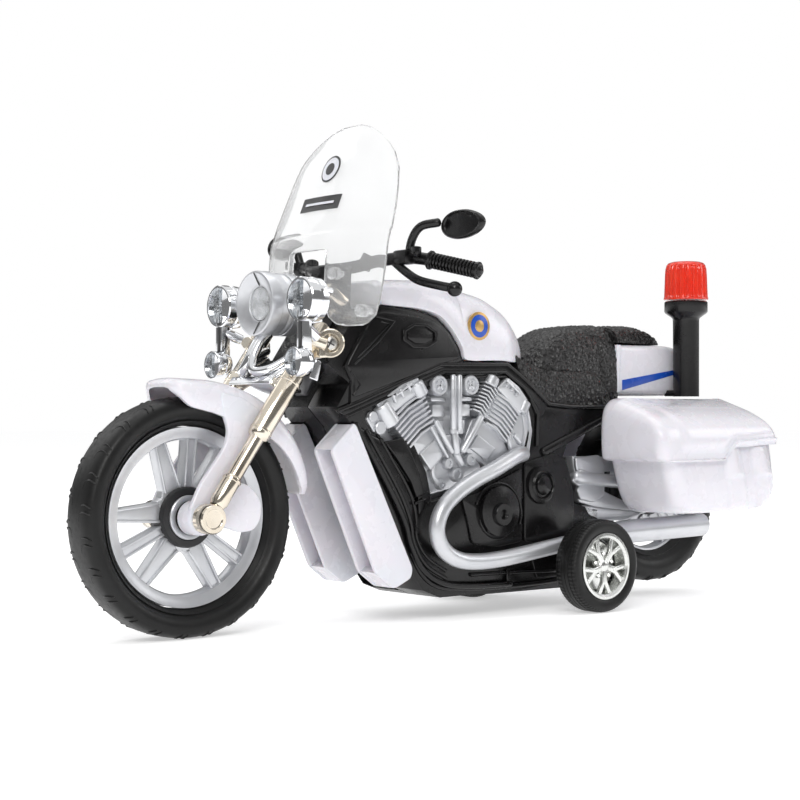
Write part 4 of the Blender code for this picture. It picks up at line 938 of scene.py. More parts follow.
def frame_relief(side):
    """Side cover, rails, hose band, clutch and sprocket covers of one side."""
    def line(points, radius, y, spread_steps=5, straight=False):
        path = on_face(points, side, y)
        shapes.append(sweep(path if straight else smooth_path(path, spread_steps), radius, 10))

    def octagon(wide, tall):
        return [(EMBLEM[0] + wide * math.cos(a), EMBLEM[1] + tall * math.sin(a))
                for a in around(8, math.pi / 8)]

    def panel(points, y_low, y_high, corner=1.0, bevel=0.35):
        shapes.append(slab(fillet(points, corner), side * y_low, side * y_high, bevel))

    shapes = []
    panel(COVER, FACE_Y - 0.6, FACE_Y + 0.95, 1.6, 0.7)
    shapes.append(slab(octagon(6.0, 3.3), side * 12.7, side * 13.45, 0.2, (octagon(5.0, 2.5),)))
    panel(octagon(4.2, 2.0), 12.7, 13.25, 0.4, 0.18)
    line([(30.4, 74.6), (24.4, 73.6), (29.4, 68.6), (36.6, 63.0)], 0.32, 13.0, straight=True)
    line([(28.6, 73.4), (26.0, 72.9), (30.2, 69.2), (35.6, 64.6)], 0.26, 13.0, straight=True)
    line([(37.8, 61.2), (35.0, 58.0), (37.0, 55.6)], 0.3, 12.9, straight=True)
    rail_outer = [(41.4, 51.8), (35.3, 53.8), (17.5, 60.5), (9.5, 63.4), (-13.3, 63.9), (-19.8, 60.0),
                  (-28.0, 53.9), (-36.0, 53.2), (-54.8, 53.1)]
    rail_inner = [(38.6, 50.6), (12.2, 60.2), (8.2, 61.6), (-12.6, 62.0), (-19.6, 58.0), (-24.4, 52.1),
                  (-24.0, 43.0)]
    band = rail_outer[:7] + [(-26.4, 51.0), (-24.4, 50.0), *reversed(rail_inner[:5])]
    shapes.append(slab(band, side * 11.6, side * 12.6, 0.25))
    line(rail_outer, 0.62, 12.55, straight=True)
    line(rail_inner, 0.5, 12.45, straight=True)
    line([*ENGINE_WINDOW, ENGINE_WINDOW[0]], 0.42, 12.05, straight=True)
    outer = [(36.4, 48.6), (32.0, 42.0), (27.6, 35.6), (23.8, 29.6), (20.8, 24.0), (19.0, 18.6), (15.2, 12.8),
             (8.4, 9.0), (-1.5, 7.8), (-14.0, 7.6)]
    inner = [(28.6, 45.0), (25.1, 40.0), (21.2, 34.6), (18.6, 30.0), (17.4, 24.9), (17.3, 20.8), (14.2, 16.0),
             (8.0, 12.2)]
    panel(outer[:8] + list(reversed(inner)), 11.6, 13.1, 0.6, 0.6)
    line(outer, 0.75, 13.0)
    line([(x + 0.42 * (inner[min(i, 7)][0] - x), z + 0.42 * (inner[min(i, 7)][1] - z))
          for i, (x, z) in enumerate(outer[:8])], 0.55, 13.15)
    line(inner, 0.5, 12.9)
    panel([(28.2, 44.4), (22.4, 45.4), (19.6, 41.4), (16.8, 36.2), (15.4, 31.4), (18.0, 30.6), (19.8, 34.6),
           (24.4, 40.4)], 12.6, 14.0, 0.5, 0.45)
    panel([(21.6, 45.0), (18.2, 43.6), (14.2, 36.6), (12.6, 29.8), (16.8, 26.2), (17.0, 30.6),
           (17.2, 36.2)], 11.8, 13.2, 0.6, 0.4)
    line([(15.4, 30.2), (18.6, 29.2)], 0.35, 13.9, straight=True)
    panel([(2.4, 30.0), (0.6, 24.6), (-1.1, 18.4), (-10.2, 17.2), (-18.2, 18.2), (-18.4, 37.2), (-11.0, 34.6),
           (-4.2, 31.6)], 11.7, 12.9, 1.0, 0.35)
    shapes.append(dish(CLUTCH, side, [(0, 14.2), (0.9, 14.2), (1.1, 14.3), (1.2, 15.3), (1.4, 15.4),
                                      (2.7, 15.4), (2.9, 15.2), (3.0, 14.4), (3.2, 14.2), (4.5, 14.2),
                                      (4.7, 14.0), (4.8, 13.3), (5.0, 13.2), (6.3, 13.2), (6.5, 13.0),
                                      (6.6, 12.0), (0, 12.0)]))
    for k in range(4):
        shapes.append(disc(polar(CLUTCH, 5.5, 45 + 90 * k), side, 13.4, 14.2, 0.75, 0.2, 20))
    line(arc(CLUTCH, 8.0, 20, 200, 12), 0.35, 13.0, 2)
    panel([(-19.4, 38.6), (-19.4, 18.2), (-27.0, 16.6), (-37.0, 19.4), (-37.6, 27.2), (-36.6, 34.0),
           (-34.4, 39.6), (-29.5, 41.0)], 11.7, 12.7, 1.2, 0.35)
    shapes.append(dish(SPROCKET, side, [(0, 14.3), (2.3, 14.3), (2.5, 14.1), (2.6, 13.4), (3.1, 13.4),
                                        (3.2, 14.0), (3.5, 14.2), (3.8, 14.0), (3.9, 13.2), (4.4, 13.2),
                                        (4.9, 13.0), (5.0, 12.0), (0, 12.0)]))
    line([(18.6, 17.0), (15.0, 11.6), (10.6, 8.6), (4.0, 7.4), (-10.0, 6.9), (-30.0, 7.4), (-45.4, 8.8)],
         0.62, 12.2)
    line([(-1.0, 10.6), (-16.0, 10.4), (-31.0, 9.9)], 0.5, 12.3)
    shapes.append(brick((-14.0, side * 12.0, 8.0), (-12.8, side * 13.0, 11.4), 0.2))
    panel([(-21.0, 17.0), (-40.0, 15.2), (-43.6, 9.4), (-24.0, 8.2)], 11.6, 12.5, 1.0, 0.3)
    shapes.append(sweep([(-26.6, side * 11.9, 41.2), (-51.0, side * 11.6, 50.6)], 1.25, 14))
    return shapes


def frame_halves():
    for side, label in SIDES:
        piece(f"frame_half_{label}", [from_cad(f"frame_{label}", 0.4)] + frame_relief(side), "black",
              "chassis", f"frame_{label}")
    for spot in ("lower", "rear", "upper"):
        node = f"frame_screw_{spot}"
        piece(f"{node}_turned", [from_cad(node, 0.15)], "steel", "chassis", node)
    piece("steering_bush_moulded", [from_cad("steering_bush", 0.3)], "satin_black", "chassis",
          "steering_bush")
    piece("steering_stem_turned", [from_cad("steering_stem", 0.2)], "steel", "fork", "steering_stem")


# ---------------------------------------------------------------- engine

def fin_stack(side, low, high, count, width_low, width_high, along_fin, y_back, y_front, thick=0.55):
    """Thin cooling fins across a cylinder's axis, from low to high in XZ."""
    fin = Vector(along_fin).normalized()
    axis = (Vector(high) - Vector(low)).normalized()
    shapes = []
    for k in range(count):
        share = k / (count - 1)
        centre = Vector(low).lerp(Vector(high), share)
        half = (width_low + (width_high - width_low) * share) / 2
        bow = -axis * 0.5
        corners = [centre - fin * half, centre + bow * 0.2, centre + fin * half]
        outline = [corners[0] - axis * thick / 2 + bow, corners[1] - axis * thick / 2 - bow * 0.6,
                   corners[2] - axis * thick / 2 + bow, corners[2] + axis * thick / 2 + bow,
                   corners[1] + axis * thick / 2 - bow * 0.6, corners[0] + axis * thick / 2 + bow]
        shapes.append(slab([tuple(p) for p in outline], side * y_back, side * y_front, 0.14))
    return shapes


ENGINE_BACK_Y = 8.6                         # where the cylinders stand on their back plate


def engine_side(side):
    def panel(points, y_high, corner=0.6, bevel=0.3):
        shapes.append(slab(fillet(points, corner), side * ENGINE_BACK_Y, side * y_high, bevel))

    def bar(a, b, radius, y, sides=14):
        shapes.append(sweep(on_face([a, b], side, y), radius, sides))

    shapes = [slab([(31.0, 45.4), (10.0, 61.6), (-13.6, 61.4), (-20.0, 56.8), (-23.6, 50.0), (-21.6, 41.0),
                    (-11.0, 35.0), (3.0, 29.6), (13.0, 27.8), (22.0, 34.0)][::-1], side * 6.6, side * 9.1,
                   0.2)]
    # front cylinder
    panel([(18.8, 44.4), (11.2, 49.4), (6.6, 42.0), (10.4, 38.0), (15.6, 40.6)], 12.0)
    panel([(16.0, 41.2), (10.0, 45.6), (7.6, 41.6), (12.6, 37.2)], 12.7, 0.4)
    shapes.extend(fin_stack(side, (15.8, 46.2), (20.9, 53.2), 8, 10.2, 12.8, (-0.83, 0.56), ENGINE_BACK_Y,
                            13.3))
    panel([(20.2, 44.6), (12.4, 50.0), (15.6, 56.0), (25.6, 49.6)], 12.3, 0.5)
    panel([(26.4, 50.2), (15.6, 56.6), (16.6, 60.2), (21.6, 58.6), (29.8, 53.4)], 12.9, 0.6, 0.4)
    shapes.append(rod((25.0, side * 12.4, 48.6), (28.6, side * 12.4, 53.4), 2.5, 2.3, 0.4, 28))
    shapes.append(rod((15.4, side * 12.2, 55.6), (17.4, side * 12.2, 58.9), 2.1, 2.0, 0.4, 28))
    for k in range(3):
        start = Vector((24.2 - 2.3 * k, 54.0 + 1.45 * k))
        bar(start, start + Vector((0.9, 1.5)), 0.42, 13.2, 8)
    bar((24.0, 55.8), (19.6, 58.5), 0.36, 13.3, 8)
    panel([(33.0, 50.0), (30.0, 51.6), (28.0, 48.6), (30.4, 46.4)], 12.7, 0.8)
    shapes.append(disc((31.0, 50.4), side, 10.0, 13.3, 1.3))
    shapes.append(disc((28.9, 47.7), side, 10.0, 13.5, 1.6))
    # rear cylinder
    panel([(-1.6, 49.6), (-4.6, 50.4), (-12.2, 45.0), (-15.0, 40.6), (-8.0, 37.2), (2.0, 42.4)], 12.0)
    panel([(-3.4, 46.0), (-9.4, 42.4), (-6.4, 39.0), (-0.6, 42.6)], 12.5, 0.4)
    shapes.extend(fin_stack(side, (-9.4, 47.0), (-13.4, 54.2), 8, 8.6, 9.6, (-0.816, -0.578), ENGINE_BACK_Y,
                            13.3))
    shapes.extend(fin_stack(side, (-2.9, 51.6), (-7.3, 58.4), 9, 4.4, 5.0, (-0.84, -0.54), ENGINE_BACK_Y,
                            13.6, 0.42))
    panel([(-5.0, 51.0), (-13.2, 45.0), (-17.4, 51.8), (-9.6, 57.6)], 12.3, 0.5)
    panel([(-9.6, 57.8), (-13.4, 60.6), (-17.2, 58.4), (-20.6, 54.8), (-17.8, 51.0)], 12.9, 0.6, 0.4)
    shapes.append(rod((-7.2, side * 12.4, 58.2), (-8.6, side * 12.4, 60.6), 1.9, 1.8, 0.3, 28))
    shapes.append(rod((-18.6, side * 12.0, 51.4), (-20.4, side * 12.0, 54.4), 1.6, 1.5, 0.3, 24))
    for k in range(3):
        start = Vector((-12.6 - 1.7 * k, 58.4 - 1.2 * k))
        bar(start, start + Vector((-0.8, 1.2)), 0.4, 13.2, 8)
    bar((-12.6, 59.8), (-17.0, 56.6), 0.34, 13.3, 8)
    bar((-13.6, 45.2), (-14.8, 41.4), 0.7, 12.6)
    bar((-16.2, 45.6), (-17.8, 43.8), 0.75, 12.4)
    panel([(-14.4, 39.6), (-21.6, 40.6), (-22.8, 47.0), (-21.4, 52.4), (-19.0, 55.2), (-17.4, 50.6),
           (-14.2, 45.0)], 12.2, 0.8)
    shapes.append(sweep(smooth_path(on_face([(-20.6, 52.6), (-21.6, 47.6), (-20.4, 41.2)], side, 12.3), 4),
                        0.4, 8))
    shapes.append(sweep(smooth_path(on_face([(-18.8, 51.2), (-19.6, 47.2), (-18.6, 41.6)], side, 12.3), 4),
                        0.25, 8))
    # pushrod tubes, caps and linkage between the cylinders
    for x in (6.15, 4.05):
        bar((x, 60.6), (x, 46.6), 0.72, 13.7)
        shapes.append(rod((x, side * 13.7, 47.4), (x, side * 13.7, 46.2), 0.95))
    bar((5.1, 60.4), (5.1, 47.0), 0.5, 13.2)
    bar((5.5, 46.6), (4.9, 41.4), 1.0, 13.4)
    bar((5.1, 41.8), (3.0, 38.4), 0.95, 13.2)
    bar((11.6, 49.2), (6.4, 41.6), 0.72, 13.5)
    bar((12.8, 47.8), (7.6, 40.4), 0.45, 13.2)
    bar((-3.2, 50.2), (3.0, 41.8), 0.9, 13.6)
    for x, z in ((9.9, 58.2), (-0.6, 58.4)):
        shapes.append(dish((x, z), side, [(0, 12.9), (1.6, 12.9), (1.8, 13.3), (2.3, 13.3), (2.6, 12.9),
                                          (2.6, 9.0), (0, 9.0)], 32))
        for turn in (0.785, 2.356):
            shapes.append(brick((x - 1.3, side * 12.8, z - 0.32),
                                (x + 1.3, side * 13.2, z + 0.32), 0.1, turn))
    for low, high in (((7.6, 50.4), (11.6, 53.4)), ((-0.9, 50.6), (2.6, 53.6)), ((7.2, 54.2), (12.0, 55.2)),
                      ((-1.6, 54.4), (3.0, 55.4)), ((7.8, 46.4), (9.6, 49.6)), ((0.8, 46.4), (2.4, 49.6))):
        shapes.append(brick((low[0], side * 8.8, low[1]),
                            (high[0], side * 12.2, high[1]), 0.3))
    panel([(12.0, 46.0), (2.0, 46.0), (-6.0, 37.6), (3.0, 32.6), (11.6, 31.0), (14.4, 36.0)], 11.0, 1.0)
    for x, z, r in ((6.4, 38.8, 1.5), (-1.0, 39.6, 1.7), (3.4, 36.0, 1.9), (10.6, 40.6, 1.2),
                    (8.8, 33.6, 1.3)):
        shapes.append(dish((x, z), side, [(0, 12.2), (r * 0.45, 12.2), (r * 0.5, 12.6), (r * 0.85, 12.6),
                                          (r, 12.2), (r, 9.0), (0, 9.0)], 24))
    shapes.append(sweep(smooth_path(on_face([(8.6, 41.6), (11.0, 39.4), (11.4, 36.2), (9.8, 33.8)], side,
                                            12.0), 5), 0.7, 12))
    return shapes


def engine():
    for side, label in SIDES:
        piece(f"engine_casting_{label}", engine_side(side), "silver", "chassis", f"engine_{label}")


# ---------------------------------------------------------------- exhaust, shroud, swingarm

def exhausts():
    route = [(-18.6, 12.8, 40.9), (-14.0, 14.6, 40.2), (-6.0, 16.0, 37.3), (1.6, 16.6, 34.6),
             (8.2, 17.0, 31.4), (12.8, 17.2, 27.6), (14.5, 17.2, 22.8), (12.8, 17.2, 18.4),
             (8.4, 17.2, 15.5), (2.0, 17.2, 14.4), (-8.0, 17.0, 14.7), (-24.0, 16.8, 16.6),
             (-42.0, 16.8, 18.9), (-48.0, 17.6, 19.5)]
    muffler = [(-46.0, 17.4, 19.2), (-50.0, 18.0, 19.6), (-66.0, 19.5, 20.4), (-80.9, 19.8, 20.6)]
    for side, label in SIDES:
        shapes = [sweep(smooth_path(mirrored(route, side), 7), 2.05, 24)]
        start, end = Vector(mirrored(muffler, side)[1]), Vector(mirrored(muffler, side)[3])
        profile = [(2.4, -4.5), (2.9, -2.0), (3.15, 0.5), (3.15, 30.4), (3.0, 30.7), (2.6, 30.7), (2.5, 30.4),
                   (2.4, 26.0), (0, 26.0)]
        shapes.append(lathe([(0, -4.5)] + profile, start, end - start, 40))
        piece(f"exhaust_pipe_{label}", shapes, "silver", "chassis", f"exhaust_{label}")
        # Dark disc at the bottom of the tailpipe recess: painted shade of the hole.
        tailpipe_shade_disc = [lathe([(0, 26.2), (2.38, 26.2), (2.38, 26.0), (0, 26.0)], start, end - start, 32)]
        piece(f"exhaust_outlet_painted_shade_{label}", tailpipe_shade_disc, "print_and_shade_black", "chassis")


def shrouds():
    for side, label in SIDES:
        cheek = fillet([(44.2, 42.6), (37.4, 48.9), (36.6, 48.2), (19.2, 13.4), (19.8, 11.0), (25.2, 8.7),
                        (30.8, 12.8)], 1.3)
        back = [(39.4, 46.0), (37.2, 47.8), (36.4, 47.2), (19.6, 13.4), (20.2, 12.2), (22.6, 12.2)]
        roof = [(44.0, 42.7), (37.5, 48.6), (36.4, 46.8), (41.2, 42.4)]
        sill = [(30.6, 12.9), (25.2, 9.0), (20.0, 11.2), (20.6, 13.6), (28.8, 14.1)]
        shapes = [slab(cheek, side * 12.6, side * 14.0, 0.55, (), 4),
                  slab(cheek, side * 6.2, side * 7.3, 0.4, (), 3), slab(back, side * 6.5, side * 13.6, 0.3),
                  slab(roof, side * 6.4, side * 13.8, 0.5), slab(sill, side * 6.4, side * 13.8, 0.5)]
        piece(f"duct_box_{label}", shapes, "white", "chassis", f"radiator_shroud_{label}")


def rear_end():
    for side, label in SIDES:
        shapes = [from_cad(f"swingarm_{label}", 0.35)]
        shapes.append(slab(fillet([(-38.8, 39.6), (-48.0, 40.2), (-50.0, 37.0), (-50.0, 29.4),
                                   (-46.0, 27.4), (-40.6, 28.4), (-39.4, 31.0), (-40.8, 33.2),
                                   (-39.2, 36.6)], 0.8), side * 10.8, side * 12.0, 0.35))
        shapes.append(slab(fillet([(-41.6, 26.8), (-50.0, 25.8), (-60.0, 24.8), (-64.8, 24.0),
                                   (-58.0, 22.0), (-47.6, 22.6), (-43.6, 24.0)], 0.8), side * 10.8,
                           side * 12.0, 0.35))
        barrel = [(0, 0), (1.3, 0), (1.7, 0.8), (1.9, 3.2), (1.75, 4.4), (1.75, 22.0), (1.4, 22.8), (0, 22.8)]
        shapes.append(lathe(barrel, (-37.4, side * 12.2, 34.4), (-0.996, 0, -0.09), 28))
        shapes.append(slab(fillet([(-36.6, 33.4), (-40.0, 36.6), (-43.4, 35.6), (-43.6, 32.6),
                                   (-39.0, 32.0)], 0.6), side * 11.8, side * 13.0, 0.35))
        shapes.append(disc((-39.2, 34.2), side, 12.6, 13.4, 0.9))
        piece(f"swingarm_cast_{label}", shapes, "silver", "chassis", f"swingarm_{label}")
        dark = [slab(fillet([(-50.4, 32.0), (-50.4, 28.4), (-62.0, 26.6), (-68.0, 28.8), (-66.0, 31.4)],
                            0.6), side * 9.0, side * 9.8, 0.2)]
        for k in range(5):
            dark.append(brick((-64.0 + 3.0 * k, side * 9.6, 27.6 - 0.1 * k),
                              (-62.8 + 3.0 * k, side * 10.4, 31.4), 0.15))
        piece(f"swingarm_grille_{label}", dark, "satin_black", "chassis")
    axle = []
    for side in (1, -1):
        axle.append(dish(REAR_AXLE, side, [(0, 12.1), (1.6, 12.1), (2.2, 11.8), (2.2, 11.4), (1.45, 11.3),
                                           (1.45, 0), (0, 0)]))
    piece("rear_axle_pin", axle, "steel", "chassis", "rear_axle")


# ---------------------------------------------------------------- tank, seat, cowl

def arch_ring(x, half, low, high, square=0.62, count=33):
    """A cross-section with a flat bottom and a rounded top."""
    ring = []
    for i in range(count):
        a = math.pi * i / (count - 1)
        c, s = math.cos(a), math.sin(a)
        ring.append((x, half * math.copysign(abs(c) ** square, c), low + (high - low) * abs(s) ** square))
    return ring


def section_path(stations, per_span):
    """Smooth sections between (x, half, low, high) stations."""
    first = smooth_path([(x, half, 0) for x, half, _, _ in stations], per_span)
    second = smooth_path([(x, low, high) for x, _, low, high in stations], per_span)
    return [(a.x, a.y, b.y, b.z) for a, b in zip(first, second)]


def tank():
    stations = [(27.2, 8.5, 78.0, 82.8), (25.8, 11.0, 77.6, 84.0), (16.5, 13.1, 77.0, 84.7),
                (10.0, 13.15, 75.5, 84.6), (5.7, 13.15, 72.1, 84.3), (2.5, 13.15, 67.9, 83.9),
                (0.9, 13.15, 64.8, 83.6), (-8.0, 13.1, 64.8, 82.0), (-12.0, 12.8, 64.8, 80.4),
                (-15.4, 12.2, 64.6, 78.6), (-19.0, 10.4, 64.6, 75.8), (-22.0, 8.4, 64.6, 72.8),
                (-24.6, 5.6, 65.2, 69.6)]
    rings = []
    for x, half, low, high in section_path(stations, 5):
        rings.append(arch_ring(x, min(half, 13.15), low, high, 0.66))
    body = bevel_sharp(loft(rings), 0.5, 3, 45)
    piece("tank_white", [body], "white", "chassis", "tank_shell", angle=math.radians(50))
    slot = [sweep(smooth_path(mirrored([(24.6, 5.2, 83.25), (19.0, 6.2, 83.45), (12.8, 6.4, 83.35)], side),
                              4), 0.35, 8) for side in (1, -1)]
    slot.append(lathe([(0, 85.6), (2.6, 85.6), (3.2, 85.2), (3.4, 84.2), (0, 84.2)], (11.0, 0, -0.75),
                      (0, 0, 1), 36))
    piece("tank_seams", slot, "print_and_shade_black", "chassis")
    for side, label in SIDES:
        for name, look, radius, y in (("rim", "gold", 3.6, 13.15),
                                                 ("field", "blue", 2.9, 13.22),
                                                 ("core", "gold", 1.5, 13.28)):
            spot = (-3.2, 73.4)
            badge = lathe([(0, y), (radius - 0.1, y), (radius, y - 0.05), (radius, y - 0.5), (0, y - 0.5)],
                          (spot[0], 0, spot[1]), (0, side, 0), 48)
            piece(f"tank_roundel_{name}_{label}", [badge], look, "chassis")


def soft_step(value, low, high):
    t = min(max((value - low) / (high - low), 0.0), 1.0)
    return t * t * (3 - 2 * t)


def grained(shape, depth=0.34, size=1.5):
    """Pushes points out or in by a pebbled pattern, for coarse moulded grain."""
    shape.normal_update()
    moves = []
    for vert in shape.verts:
        near = noise.voronoi(vert.co / size)[0]
        moves.append(vert.normal * depth * (min(near[1] - near[0], 0.5) * 2 - 0.6))
    for vert, move in zip(shape.verts, moves):
        vert.co += move
    return shape


def seat():
    base = [(-20.4, 11.6, 59.2, 68.9), (-21.6, 12.0, 58.4, 68.3), (-24.0, 12.1, 56.4, 67.0),
            (-27.0, 12.0, 54.4, 66.0), (-31.5, 11.8, 53.4, 64.9), (-38.5, 11.8, 53.4, 64.3),
            (-44.0, 11.8, 53.4, 64.4), (-47.5, 11.8, 53.4, 64.2), (-50.3, 11.7, 53.4, 62.4),
            (-52.0, 11.4, 53.4, 59.6), (-53.4, 10.8, 53.6, 56.4)]
    pad = [(-28.4, 7.4, 60.0, 65.6), (-29.6, 8.4, 60.0, 67.6), (-31.6, 9.0, 60.0, 70.2),
           (-34.6, 9.5, 60.0, 72.6), (-39.7, 9.9, 58.0, 74.6), (-46.0, 10.2, 56.0, 75.4),
           (-51.6, 10.5, 54.0, 75.7), (-55.2, 10.9, 54.0, 75.6), (-56.6, 10.7, 54.4, 75.2)]
    rear = [(-56.0, 10.8, 70.8, 75.4), (-60.0, 10.5, 70.8, 75.8), (-66.5, 9.9, 70.8, 75.9),
            (-70.0, 9.3, 70.8, 75.4), (-73.3, 8.5, 70.8, 74.5), (-76.5, 7.2, 70.8, 73.2),
            (-78.3, 5.8, 70.8, 71.9)]
    shapes = []
    for rows, square in ((base, 0.42), (pad, 0.52), (rear, 0.66)):
        rings = [arch_ring(x, half, low, high, square, 121) for x, half, low, high in section_path(rows, 10)]
        shape = loft(rings)
        for vert in shape.verts:
            x, y, z = vert.co
            if rows is base:
                vert.co.x = x + 0.5 * max(0.0, z - 59.2) * soft_step(x, -32.0, -20.4)
                ridge = math.exp(-((abs(y) - 11.2) / 0.9) ** 2) * soft_step(z, 63.0, 64.4)
                vert.co.z -= 1.3 * (1 - ridge) * soft_step(z, 62.5, 64.0) * soft_step(x, -50, -40)
            if rows is pad:
                out = Vector((0, y, z - 58)).normalized()
                vert.co -= out * 0.55 * math.exp(-((x + 51.4 - 0.10 * (z - 60)) / 0.55) ** 2)
        shapes.append(grained(shape))
    piece("seat_grained", shapes, "leather", "chassis", "seat", angle=math.radians(80))


def tail():
    outline = [(-56.2, 56.4), (-56.2, 70.4), (-78.0, 70.4), (-85.0, 69.0), (-89.5, 65.8), (-91.0, 61.0),
               (-90.0, 56.6)]
    shape = slab(fillet(outline[::-1], 2.0), -10.7, 10.7, 1.7, (), 5)
    lip = slab(fillet([(-56.3, 57.0), (-56.3, 70.3), (-58.0, 70.3), (-57.4, 57.0)], 0.4), -10.8, 10.8, 0.4)
    piece("tail_cowl_white", [shape, lip], "white", "chassis", "tail_cowl")
    for side, label in SIDES:
        stripe = slab([(-58.2, 60.6), (-58.2, 57.8), (-79.6, 62.4), (-84.0, 64.4)], side * 10.5,
                      side * 10.78, 0.05)
        piece(f"cowl_stripe_{label}", [stripe], "blue", "chassis")
    x, y = BEACON
    shelf = [brick((x - 3.4, 9.6, 56.3), (x + 3.4, y, 58.0), 0.3)]
    piece("beacon_shelf", shelf, "black", "chassis", "beacon_bracket")


# ---------------------------------------------------------------- saddlebags and beacon

BAG_IN = 15.4


def rim_height(x):
    """The lid's lower edge steps up towards the rear."""
    return 38.8 + 5.2 * soft_step(-x, 66.5, 73.5) + 1.6 * soft_step(-x, 74, 91)


def bag_ring(z, x_front, x_back, y_out, corner, y_in=BAG_IN):
    """A rounded rectangle at height z with evenly spread points."""
    spots = [(x_front - corner, y_in + corner, 270), (x_front - corner, y_out - corner, 0),
             (x_back + corner, y_out - corner, 90), (x_back + corner, y_in + corner, 180)]
    sides = (22, 46, 22, 20)
    ring = []
    for i, (cx, cy, start) in enumerate(spots):
        ring += [Vector((x, y, z)) for x, y in arc((cx, cy), corner, start, start + 90, 7)]
        nx, ny, turn = spots[(i + 1) % 4]
        here, there = ring[-1], Vector((*arc((nx, ny), corner, turn, turn + 90, 7)[0], z))
        ring += [here.lerp(there, k / sides[i]) for k in range(1, sides[i])]
    return ring


def bag_rows(rows, steps):
    """Rings between (z, front x, back x, outer y) rows."""
    first = smooth_path([(z, front, back) for z, front, back, _, _ in rows], steps)
    second = smooth_path([(z, out, corner) for z, _, _, out, corner in rows], steps)
    return [bag_ring(a.x, a.y, a.z, b.y, b.z) for a, b in zip(first, second)]


def strap_lift(x, z):
    """Two moulded strap flaps with a bulged tip each."""
    lift = 0.0
    for start in (-67.0, -79.0):
        shift = start - 0.24 * (44 - z)
        inside = soft_step(shift + 0.3 - x, 0, 0.8) * (1 - soft_step(shift - 6.4 - x, 0, 1.2))
        bulge = soft_step(z, 34.0, 35.0) * (1 - soft_step(z, 41.5, 43.5))
        centre = math.exp(-((x - shift + 3.0) / 2.4) ** 2)
        lift += inside * (0.55 + 1.1 * bulge * centre)
    return lift


LID_FOOT_Z, LID_SLOPE_Z, LID_SLOPE_Y, LID_SLOPE = 38.9, 44, 21.0, 0.029


def bag_piece(rings, side, name, node):
    """Skins rings of the left bag, mirrored for the right side."""
    shape = loft(rings)
    for vert in shape.verts:
        vert.co.y *= side
    bmesh.ops.recalc_face_normals(shape, faces=shape.faces)
    piece(name, [shape], "white", "chassis", node, angle=math.radians(60))


def saddlebags():
    body_rows = [(24.8, -57.0, -84.0, 33.0, 5.0), (25.2, -54.2, -86.4, 35.4, 5.0),
                 (26.8, -51.6, -88.8, 37.2, 4.6), (29.6, -49.8, -90.2, 38.0, 4.2),
                 (33.0, -48.6, -90.8, 38.2, 4.0), (37.6, -47.3, -90.6, 38.0, 3.8),
                 (41.6, -46.4, -90.2, 37.6, 3.6), (44.6, -46.4, -89.8, 37.4, 3.6)]
    lid_rows = [(38.9, -44.9, -91.2, 38.7, 3.4), (40.2, -43.6, -91.3, 38.8, 3.0),
                (46.0, -43.4, -91.0, 38.6, 2.8), (49.6, -43.5, -90.6, 38.0, 3.0),
                (52.2, -44.0, -89.8, 36.8, 3.2), (53.9, -45.0, -88.6, 35.0, 3.6),
                (55.0, -46.6, -87.0, 32.4, 3.8), (55.5, -49.0, -84.6, 29.0, 4.0)]
    for side, label in SIDES:
        rings = bag_rows(body_rows, 7)
        for ring in rings:
            for point in ring:
                if point.y > 33:
                    point.y = min(point.y + strap_lift(point.x, point.z) * soft_step(point.y, 35.5, 37.0),
                                  39.6)
        bag_piece(rings, side, f"saddlebag_box_{label}", f"saddlebag_body_{label}")
        rings = bag_rows(lid_rows, 7)
        total = len(rings)
        for i, ring in enumerate(rings):
            share = i / (total - 1)
            for point in ring:
                base = rim_height(point.x)
                if share < 0.25:
                    point.z += (base - LID_FOOT_Z) * (1 - share / 0.25)
                face = point.y > 30
                in_panel = (soft_step(-point.x, 51.0, 52.4) * (1 - soft_step(-point.x, 87.0, 89.0))
                            * soft_step(point.z, base + 3.0, base + 3.9))
                if point.z > 50:
                    in_panel *= soft_step(point.y, 20.0, 22.0)
                grow = 1.1 * in_panel
                reach, start, end = (0.7, 0.03, 0.09) if face else (0.2, 0.02, 0.07)
                lip = reach * (1 - soft_step(share, start, end))
                point.y = min(point.y + (grow * 0.7 if face else 0) + lip, 40.2)
                if point.z > LID_SLOPE_Z:
                    above = point.z + grow * 0.5 - LID_SLOPE_Z
                    outward = max(0.0, point.y - LID_SLOPE_Y)
                    point.z = min(LID_SLOPE_Z + above * (1 - LID_SLOPE * outward), 55.6)
        under = [Vector((p.x + (0.9 if p.x < -68 else -0.9), p.y - 0.9 if p.y > 27 else p.y + 0.6, p.z + 0.3))
                 for p in rings[0]]
        bag_piece([under] + rings, side, f"saddlebag_top_{label}", f"saddlebag_lid_{label}")


def beacon_light():
    x, y = BEACON

    def flutes(a, r, h):
        return r - 0.42 * (0.5 + 0.5 * math.cos(18 * a)) ** 4 if 0.6 < h - 83.2 < 9.6 and r > 4.7 else r

    lens = [(0, 83.25), (6.1, 83.25), (6.2, 83.5), (6.15, 83.9), (6.05, 84.2), (5.98, 86.0), (5.9, 88.0),
            (5.82, 90.2), (5.7, 91.9), (5.4, 93.0), (4.9, 93.6), (4.0, 93.9), (0, 94.0)]
    piece("beacon_dome", [lathe(finer(lens, 4), (x, y, 0), (0, 0, 1), 240, flutes)], "red", "chassis",
          "beacon_lens", angle=math.radians(60))
    pole = [(0, 82.9), (5.7, 82.9), (6.0, 82.6), (6.0, 80.0), (5.8, 79.6), (4.1, 78.4), (3.75, 78.0),
            (3.65, 77.4), (3.6, 56.2), (0, 56.2)]
    piece("beacon_post", [lathe(pole, (x, y, 0), (0, 0, 1), 64)], "black", "chassis", "beacon_pole")


# ---------------------------------------------------------------- pull-back motor

